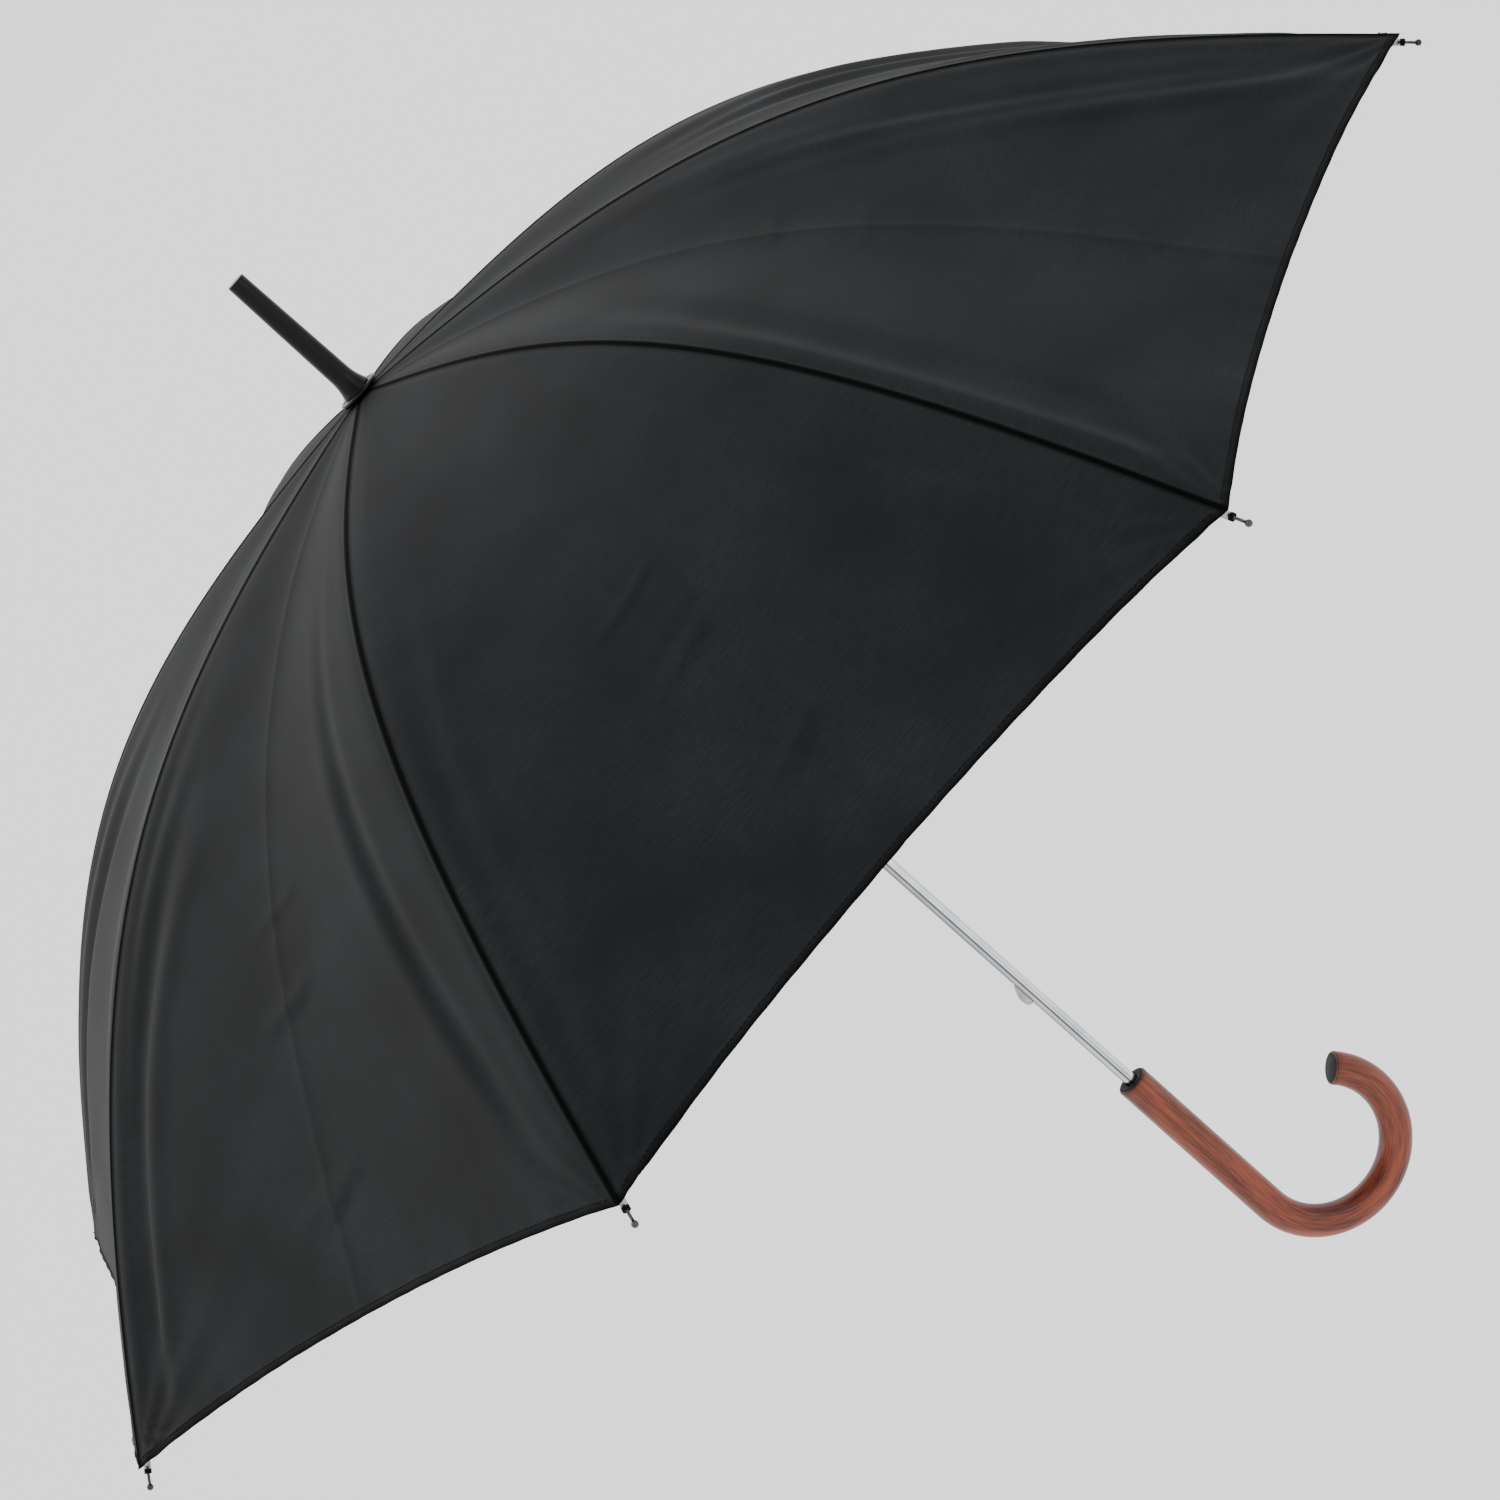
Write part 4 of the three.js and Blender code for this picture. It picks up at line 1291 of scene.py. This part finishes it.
    def whipping(self, number: int) -> bpy.types.Object:
        """The thread wound round a tip's collar, which ties the cover's corner to it."""
        turns, radius, thick = 5, 1.85 * MM, 0.28 * MM
        outline = [(1.75 * MM, 0.35 * MM)]
        for i in range(turns):
            height = (0.55 + i * 0.5) * MM
            outline += [(radius - 0.1 * MM, height - 0.2 * MM), (radius + thick, height)]
        outline.append((1.75 * MM, 2.9 * MM))
        return placed(turned(f"tip_whipping_{number}", outline, self.thread, 24), self.tip_place())

    def build(self) -> None:
        """Builds every rib's pieces and turns them to their azimuths."""
        for number in range(1, PANELS + 1):
            spin = Matrix.Rotation(rib_azimuth(number), 4, "Z")
            inner, outer = f"rib_inner_{number}", f"rib_outer_{number}"
            finished(placed(self.inner(number), spin), inner, "nickelled_steel", inner)
            finished(placed(self.outer(number), spin), outer, "nickelled_steel", outer)
            strut = f"stretcher_{number}"
            finished(placed(self.strut(number), spin), strut, "nickelled_steel", strut)
            finished(placed(self.tip(number), spin), outer, "nickelled_steel", f"rib_tip_{number}")
            finished(placed(self.whipping(number), spin), outer, "black_taffeta")


# ---- Crown and runner ------------------------------------------------------------------------------


@dataclass
class Hub:
    """The crown and the runner, each a notched ring with a hinge wire, and the wires."""

    plastic: bpy.types.Material
    wire: bpy.types.Material
    wire_circle: float = 10 * MM
    wire_radius: float = 0.6 * MM
    rim: float = 12.5 * MM
    above: float = 3 * MM
    below: float = 3.6 * MM
    notch: float = 2 * MM
    gap: float = 0.3 * MM

    def ring(
        self, name: str, inside: float, height: float, lower: list[tuple[float, float]]
    ) -> bpy.types.Object:
        """A notched ring with its collar or sleeve.

        Args:
            name: The piece's name.
            inside: The radius of its bore.
            height: The height of its wire.
            lower: The outline of what hangs below it, from its bore outwards.

        Returns:
            The piece.
        """
        groove = self.wire_circle - self.wire_radius - self.gap
        half = self.wire_radius + self.gap
        soft = 0.4 * MM
        outline = lower + [
            (
                self.rim - soft, -self.below
            ), (self.rim, -self.below + soft), (self.rim, -half), (groove, -half),
            (groove, half), (self.rim, half), (self.rim, self.above - soft), (self.rim - soft, self.above),
            (inside, self.above),
        ]
        piece = turned(name, [(r, height + z) for r, z in outline], self.plastic, 72)
        bottom = self.wire_circle - 2.3 * MM
        cutters = [
            block((bottom, -self.notch / 2, height - 6 * MM), (20 * MM, self.notch / 2, height + 6 * MM),
                  rib_azimuth(k), self.plastic)
            for k in range(1, PANELS + 1)
        ]
        return cut(piece, cutters)

    def hinge_wire(self, name: str, height: float) -> bpy.types.Object:
        """A hinge wire with its ends twisted together between two notches."""
        sides = 10
        outline = [
            (self.wire_circle + self.wire_radius * math.cos(a), height + self.wire_radius * math.sin(a))
            for a in (math.tau * j / sides for j in range(sides))
        ]
        return turned(name, outline, self.wire, 96)

    def build(self) -> None:
        """Builds the crown, the runner and both wires."""
        crown = joint("rib_fold_1").place.z
        runner = joint("runner_travel").place.z
        collar = [
            (4.3 * MM, -11.6 * MM), (6.9 * MM, -11.6 * MM), (7.2 * MM, -11.3 * MM), (7.2 * MM, -3.6 * MM)
        ]
        finished(self.ring("crown_moulding", 4.3 * MM, crown, collar), "shaft", "black_plastic", "crown")
        finished(self.hinge_wire("crown_hinge_wire", crown), "shaft", "spring_steel", "crown_wire")
        sleeve = [
            (4.5 * MM, -57 * MM), (6.5 * MM, -57 * MM), (7.3 * MM, -56.4 * MM), (7.3 * MM, -54.6 * MM),
            (6.8 * MM, -54 * MM), (6.8 * MM, -14 * MM), (7.1 * MM, -9 * MM), (7.6 * MM, -5 * MM), (
                7.6 * MM, -3.6 * MM
            ),
        ]
        piece = self.ring("runner_moulding", 4.5 * MM, runner, sleeve)
        window = block(
            (-20 * MM, -1.5 * MM, runner - 54.6 * MM), (0, 1.5 * MM, runner - 32.6 * MM), 0, self.plastic
        )
        finished(cut(piece, [window]), "runner", "black_plastic", "runner")
        finished(self.hinge_wire("runner_hinge_wire", runner), "runner", "spring_steel", "runner_wire")


# ---- The stick -------------------------------------------------------------------------------------


@dataclass
class Stick:
    """The shaft tube, the ferrule with its washer, and the two catch springs."""

    chrome: bpy.types.Material
    plastic: bpy.types.Material
    spring: bpy.types.Material
    radius: float = 4 * MM
    wall: float = 0.6 * MM
    slot_width: float = 2.4 * MM
    catch_width: float = 1.6 * MM

    def shaft(self) -> bpy.types.Object:
        """The shaft tube with its two catch slots."""
        low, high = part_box("shaft_tube")
        inside = self.radius - self.wall
        heights = np.linspace(low.z, high.z, 40)
        outline = [(self.radius, z) for z in heights] + [(inside, high.z), (inside, low.z)]
        tube = turned("shaft_chrome", outline, self.chrome, 64)
        cutters = []
        for name in ("bottom_catch", "top_catch"):
            foot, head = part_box(name)
            margin = 0.7 * MM
            half = self.slot_width / 2
            cutters.append(
                block((-9 * MM, -half, foot.z - margin), (0, half, head.z + margin), 0, self.chrome)
            )
        return cut(tube, cutters)

    def ferrule(self) -> bpy.types.Object:
        """The ferrule: a bell foot, a long tapered neck and a flat end with a soft edge."""
        low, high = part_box("ferrule")
        bore, foot, neck, top = 4.3 * MM, 9.2 * MM, 6.5 * MM, 5.65 * MM
        flare, soft = 13.5 * MM, 0.8 * MM
        outline = [
            (0.4 * MM, high.z - 12 * MM), (bore, high.z - 12 * MM), (bore, low.z), (foot - 0.3 * MM, low.z)
        ]
        for rise in np.linspace(0.02, 1, 16):
            outline.append((neck + (foot - neck) * (1 - rise) ** 2.2, low.z + flare * rise))
        for rise in np.linspace(0.1, 1, 10):
            outline.append(
                (neck + (top - neck) * rise, low.z + flare + (high.z - soft - low.z - flare) * rise)
            )
        for a in np.linspace(0.3, math.pi / 2, 5):
            outline.append((top - soft * (1 - math.cos(a)), high.z - soft * (1 - math.sin(a))))
        outline.append((0.4 * MM, high.z))
        return capped("ferrule_moulding", outline, self.plastic, 72)

    def washer(self) -> bpy.types.Object:
        """The dished washer that clamps the cover under the ferrule."""
        low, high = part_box("ferrule_washer")
        rim = high.x
        outline = [
            (4.3 * MM, low.z), (rim - 0.7 * MM, low.z), (
                rim - 0.1 * MM, low.z + 0.5 * MM
            ), (rim, low.z + 1.1 * MM),
            (
                rim - 0.1 * MM, high.z - 0.3 * MM
            ), (rim - 0.6 * MM, high.z), (rim - 1.3 * MM, high.z - 0.1 * MM),
            (
                rim - 2.0 * MM, high.z - 0.7 * MM
            ), (9.9 * MM, high.z - 0.7 * MM), (9.4 * MM, high.z - 0.1 * MM),
            (4.3 * MM, high.z - 0.1 * MM),
        ]
        return turned("washer_moulding", outline, self.plastic, 72)

    def catch(self, name: str, flip: int) -> bpy.types.Object:
        """A catch spring: a ramp that rises from its root to a square shoulder, over a thin web.

        Args:
            name: The catch's node.
            flip: 1 where the root is at the upper end, -1 where it is at the lower end.

        Returns:
            The piece.
        """
        low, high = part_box(name)
        above, below, proud = 9.5 * MM, 8.5 * MM, -low.x - self.radius
        middle = high.z - above if flip > 0 else low.z + above
        inner = self.radius - self.wall - 1.1 * MM
        outline = [
            (inner, above), (self.radius + 0.05 * MM, 0.84 * above), (
                self.radius + 0.36 * proud, 0.6 * above
            ),
            (self.radius + 0.72 * proud, 0.25 * above), (self.radius + 0.93 * proud, 0.02 * above),
            (self.radius + proud, -0.2 * below), (self.radius + 0.97 * proud, -0.5 * below),
            (self.radius + 0.84 * proud, -0.75 * below), (self.radius + 0.6 * proud, -0.9 * below),
            (self.radius - 0.2 * MM, -below), (self.radius - 0.8 * MM, -below),
        ]
        parts = []
        for width, shrink in ((self.catch_width, 0.0), (0.5 * self.catch_width, 0.1 * MM)):
            edge = [(x - shrink, z) for x, z in outline]
            if not shrink:
                edge += [(x - 0.9 * MM, 0.9 * z) for x, z in reversed(outline[1:-1])]
            corners = [(-x, y, middle + flip * z) for y in (-width / 2, width / 2) for x, z in edge]
            faces = joined_rings(2, len(edge), False)
            parts.append(outward(mesh_piece(name, corners, faces, self.spring, flat=True)))
        return merged(f"{name}_spring", parts)

    def build(self) -> None:
        """Builds the stick and its catch springs."""
        finished(self.shaft(), "shaft", "chromed_tube", "shaft_tube")
        finished(self.ferrule(), "shaft", "black_plastic", "ferrule")
        finished(self.washer(), "shaft", "black_plastic", "ferrule_washer")
        for name, flip in (("bottom_catch", 1), ("top_catch", -1)):
            finished(self.catch(name, flip), name, "spring_steel", name)


# ---- The handle ------------------------------------------------------------------------------------


@dataclass
class CrookHandle:
    """The crook: a straight grip, then a bend of a little over half a turn."""

    wood: bpy.types.Material
    radius: float = 10.2 * MM
    bore: float = 4.3 * MM
    grip: float = 2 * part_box("crook_handle")[1].z
    bend: float = 47.5 * MM
    sweep: float = math.radians(217)
    sides: int = 56

    def place(self, distance: float) -> tuple[Vector, Vector]:
        """A place on the handle's middle line.

        Args:
            distance: How far along it from the grip's top.

        Returns:
            The place and the direction along the line.
        """
        top = self.grip / 2
        if distance < self.grip:
            return Vector((0, 0, top - distance)), Vector((0, 0, -1))
        angle = (distance - self.grip) / self.bend
        middle = Vector(
            (self.bend * (1 - math.cos(angle)), 0, top - self.grip - self.bend * math.sin(angle))
        )
        return middle, Vector((math.sin(angle), 0, -math.cos(angle)))

    def stations(self) -> list[tuple[float, float, float]]:
        """Distance, radius and how much end grain shows, for each ring of the handle."""
        end = self.grip + self.bend * self.sweep
        bottom, soft = 12 * MM, 1.1 * MM
        made = [(bottom, 0.3 * MM, 1), (bottom, self.bore, 1), (0.3 * MM, self.bore, 1), (
            0, self.bore + 0.3 * MM, 1
        )]
        made.append((0, self.radius - 1.6 * soft, 1))
        corner = [
            (soft * (1 - math.sin(a)), self.radius - soft * (
                1 - math.cos(math.pi / 2 - a)
            ), 0.35 * math.cos(a))
            for a in np.linspace(0.0, math.pi / 2, 6)
        ]
        made += [(
            d, self.radius - soft * (1 - math.sqrt(max(0, 1 - (1 - d / soft) ** 2))), g
        ) for d, _, g in corner]
        made += [(d, self.radius, 0) for d in np.linspace(1.5 * soft, end - 1.5 * soft, 120)]
        made += [(end - d, self.radius - soft * (1 - math.sqrt(max(0, 1 - (1 - d / soft) ** 2))), g)
                 for d, _, g in corner[::-1]]
        made += [(end, self.radius - 1.6 * soft, 1), (end, 0.3 * MM, 1)]
        return made

    def build(self) -> None:
        """Builds the handle with its grain map."""
        corners, ends, around = [], [], []
        stations = self.stations()
        for distance, radius, grain in stations:
            middle, along = self.place(distance)
            side = Vector((0, 1, 0))
            out = along.cross(side)
            for j in range(self.sides):
                a = math.tau * j / self.sides
                corners.append(middle + radius * (math.cos(a) * out + math.sin(a) * side))
                ends.append(grain)
                around.append((a * self.radius, distance))
        faces = joined_rings(len(stations), self.sides, False)
        piece = mesh_piece("crook_wood", [tuple(c) for c in corners], faces, self.wood)
        mesh = piece.data
        attribute = mesh.attributes.new("end_grain", "FLOAT", "POINT")
        attribute.data.foreach_set("value", ends)
        layer = mesh.uv_layers.new(name="grain")
        seam = math.tau * self.radius
        for polygon in mesh.polygons:
            last = [mesh.loops[i].vertex_index % self.sides for i in polygon.loop_indices]
            wraps = len(last) == 4 and max(last) - min(last) > 1
            for i, column in zip(polygon.loop_indices, last):
                u, v = around[mesh.loops[i].vertex_index]
                layer.uv[i].vector = (u + seam if wraps and column == 0 else u, v)
        shape = bmesh.new()
        shape.from_mesh(mesh)
        bmesh.ops.recalc_face_normals(shape, faces=shape.faces)
        shape.to_mesh(mesh)
        shape.free()
        finished(piece, "shaft", "stained_wood", "crook_handle")


# ---- The tie band ----------------------------------------------------------------------------------


@dataclass
class TieBand:
    """The band that ties the folded cover, and its press stud."""

    cover: Cover
    plastic: bpy.types.Material
    rib: int = 3
    start: float = 0.7
    end: float = 0.94
    side: float = 0.34
    width: float = 22 * MM
    thickness: float = 1 * MM
    lift: float = 0.5 * MM

    def build(self) -> None:
        """Builds the band and the stud, which gather with their cover piece."""
        run, across = np.linspace(0, 1, 60), np.linspace(-1, 1, 13)
        t = (self.start + (self.end - self.start) * run)[:, None] * np.ones(13)
        chord = 2 * BOW.point(t)[..., 0] * math.sin(PANEL_ANGLE / 2)
        taper = np.clip((1 - run) / 0.06, 0.35, 1)[:, None] ** 0.5
        u = self.side / 2 + across[None, :] * self.width / 2 * taper / chord
        edge = 0.25 * MM * np.exp(-((1 - np.abs(across)) / 0.12) ** 2)[None, :]
        layers = [self.cover.surface(
            self.rib, t, u, self.lift + up + edge * (up > 0)
        ) for up in (self.thickness, 0)]
        corners = np.concatenate([layer.reshape(-1, 3) for layer in layers])
        band = mesh_piece("tie_band_cloth", corners, Cover.sheet_faces(*t.shape), self.cover.cloth)
        layer = band.data.uv_layers.new(name="cut")
        flat = self.cover.flat_place(t, u).reshape(-1, 2)
        for i, loop in enumerate(band.data.loops):
            layer.uv[i].vector = flat[loop.vertex_index % t.size]
        finished(band, f"rib_outer_{self.rib}", "black_taffeta", "tie_band")
        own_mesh(band)
        self.stud()

    def stud(self) -> None:
        """The press stud's cap, near the band's free end.
        """
        low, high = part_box("tie_stud")
        t = self.end - BOW.share(self.end, self.width / 2)
        u = self.side / 2
        at = [Vector(self.cover.surface(self.rib, np.array(t + dt), np.array(u + du)).tolist())
              for dt, du in ((-0.01, 0), (0.01, 0), (0, -0.01), (0, 0.01))]
        normal = (at[1] - at[0]).cross(at[3] - at[2]).normalized()
        outline = [
            (0.3 * MM, 0), (5.5 * MM, 0), (5.5 * MM, 0.7 * MM), (5.2 * MM, 1.3 * MM),
            (4.4 * MM, 1.8 * MM), (3.2 * MM, 2.1 * MM), (2.6 * MM, 1.7 * MM), (0.3 * MM, 1.6 * MM),
        ]
        cap = capped("tie_stud_cap", outline, self.plastic, 40)
        turn = normal.to_track_quat("Z", "Y").to_matrix().to_4x4()
        place = (low + high) / 2 - normal * 1.1 * MM
        placed(cap, Matrix.Translation(place) @ turn)
        finished(cap, f"rib_outer_{self.rib}", "black_plastic", "tie_stud")
        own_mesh(cap)


# ---- The studio ------------------------------------------------------------------------------------


@dataclass
class Studio:
    """A pale floor, soft lights and the camera."""

    floor: bpy.types.Material
    drop: float = 1.3
    window: tuple[float, float, float] = (-0.3, 0.7, 0.65)
    room: tuple[float, float] = (0.5, 2.4)
    horizon: float = 1.6
    lens: float = 89.05
    bearing: float = math.radians(-91.504)
    elevation: float = math.radians(14.906)
    distance: float = 2.0977
    roll: float = math.radians(-48.28)
    aim_right: float = math.radians(-0.913)
    aim_up: float = math.radians(-0.962)

    def camera(self) -> None:
        """Sets the camera: it looks near the middle of the rib tips' circle, tilted about its view."""
        target = Vector((0, 0, BOW.top - BOW.rise))
        back = Vector((
            math.cos(self.elevation) * math.cos(self.bearing),
            math.cos(self.elevation) * math.sin(self.bearing),
            math.sin(self.elevation),
        ))
        ahead = -back
        right = ahead.cross(Vector((0, 0, 1))).normalized()
        up = right.cross(ahead)
        tilted_right = math.cos(self.roll) * right + math.sin(self.roll) * up
        tilted_up = math.cos(self.roll) * up - math.sin(self.roll) * right
        ahead, right = (
            ahead * math.cos(self.aim_right) - tilted_right * math.sin(self.aim_right),
            tilted_right * math.cos(self.aim_right) + ahead * math.sin(self.aim_right),
        )
        ahead, up = (
            ahead * math.cos(self.aim_up) + tilted_up * math.sin(self.aim_up),
            tilted_up * math.cos(self.aim_up) - ahead * math.sin(self.aim_up),
        )
        data = bpy.data.cameras.new("camera")
        data.lens = self.lens
        camera = bpy.data.objects.new("camera", data)
        camera.matrix_world = Matrix.Translation(target + back * self.distance) @ Matrix(
            (right, up, -ahead)
        ).transposed().to_4x4()
        bpy.context.scene.collection.objects.link(camera)
        bpy.context.scene.camera = camera

    def light(self, name: str, place: Sequence[float], size: float, power: float, colour: str) -> None:
        """Adds a soft square light that shines at the cover.

        Args:
            name: Its name.
            place: Where it stands.
            size: Its side.
            power: Its power in watts.
            colour: Its colour as sRGB hex.
        """
        data = bpy.data.lights.new(name, "AREA")
        data.size = size
        data.energy = power
        data.color = srgb(colour)[:3]
        lamp = bpy.data.objects.new(name, data)
        lamp.location = place
        lamp.rotation_euler = (
            Vector((0, 0, BOW.top - 0.1)) - Vector(place)
        ).to_track_quat("-Z", "Y").to_euler()
        bpy.context.scene.collection.objects.link(lamp)

    def build(self) -> None:
        """Builds the floor, the surroundings, the lights and the camera."""
        half = 60.0
        corners = [
            (x, y, -self.drop) for x, y in ((-half, -half), (half, -half), (half, half), (-half, half))
        ]
        mesh_piece("floor", corners, [(0, 1, 2, 3)], self.floor)
        world = bpy.data.worlds.new("studio")
        world.use_nodes = True
        # A white room whose far left side is the brightest, as with one large window behind.
        tree = world.node_tree
        way = add_node(tree, "ShaderNodeTexCoord").outputs["Generated"]
        toward = add_node(tree, "ShaderNodeVectorMath", {0: way, 1: self.window}, operation="DOT_PRODUCT")
        share = add_node(tree, "ShaderNodeMapRange", {"Value": toward.outputs["Value"], "From Min": -1.0})
        curved = add_node(tree, "ShaderNodeMath", {0: share.outputs["Result"], 1: 1.6}, operation="POWER")
        strength = spread(tree, curved.outputs[0], *self.room)
        # Near the horizon the room is as bright as the floor, so no edge shows between them.
        height = add_node(tree, "ShaderNodeSeparateXYZ", {"Vector": way}).outputs["Z"]
        above = add_node(tree, "ShaderNodeMapRange", {"Value": height, "From Min": 0.04, "From Max": 0.5},
                         interpolation_type="SMOOTHSTEP").outputs["Result"]
        strength = add_node(
            tree, "ShaderNodeMix", {"Factor": above, "A": self.horizon, "B": strength}
        ).outputs["Result"]
        tree.nodes["Background"].inputs["Color"].default_value = (1, 1, 1, 1)
        tree.links.new(strength, tree.nodes["Background"].inputs["Strength"])
        bpy.context.scene.world = world
        self.light("key", (-1.6, 0.9, 2.3), 1.6, 22, "fffcf8")
        self.light("fill", (1.8, -2.2, 1.4), 1.8, 12, "cfe0ff")
        self.camera()


def main() -> None:
    """Builds the umbrella's sub-assemblies in order, then the studio."""
    logging.basicConfig(level=logging.INFO, format="%(name)s: %(message)s")
    cloth, thread = Taffeta().material(), Thread().material()
    plastic = GlossPlastic().material()
    # The shaft's chrome carries painted reflection streaks at 0.9.
    chrome = PlatedSteel("steel tube, chrome plated", "f2f3f4", "dcdfe2", (0.1, 0.2), 0.9).material()
    nickel = PlatedSteel(
        "steel strip, rolled and nickel plated", "b4b2ac", "8e8c86", (0.25, 0.42)
    ).material()
    # The rib tips' nickel is darkened in colour as a painted reflection of the dark cover above them.
    darkened_tip_nickel = PlatedSteel(
        "steel wire, turned and black-nickel plated", "4c4c4e", "363638", (0.2, 0.36)
    ).material()
    spring = PlatedSteel("spring steel, blanked", "b8b5ab", "8f8c82", (0.25, 0.4)).material()
    wood = StainedWood().material()
    cover = Cover(cloth, thread)
    cover.build()
    RibFrame(nickel, darkened_tip_nickel, thread).build()
    Hub(plastic, spring).build()
    Stick(chrome, plastic, spring).build()
    CrookHandle(wood).build()
    TieBand(cover, plastic).build()
    Studio(PaleFloor().material()).build()


if __name__ == "__main__":
    main()
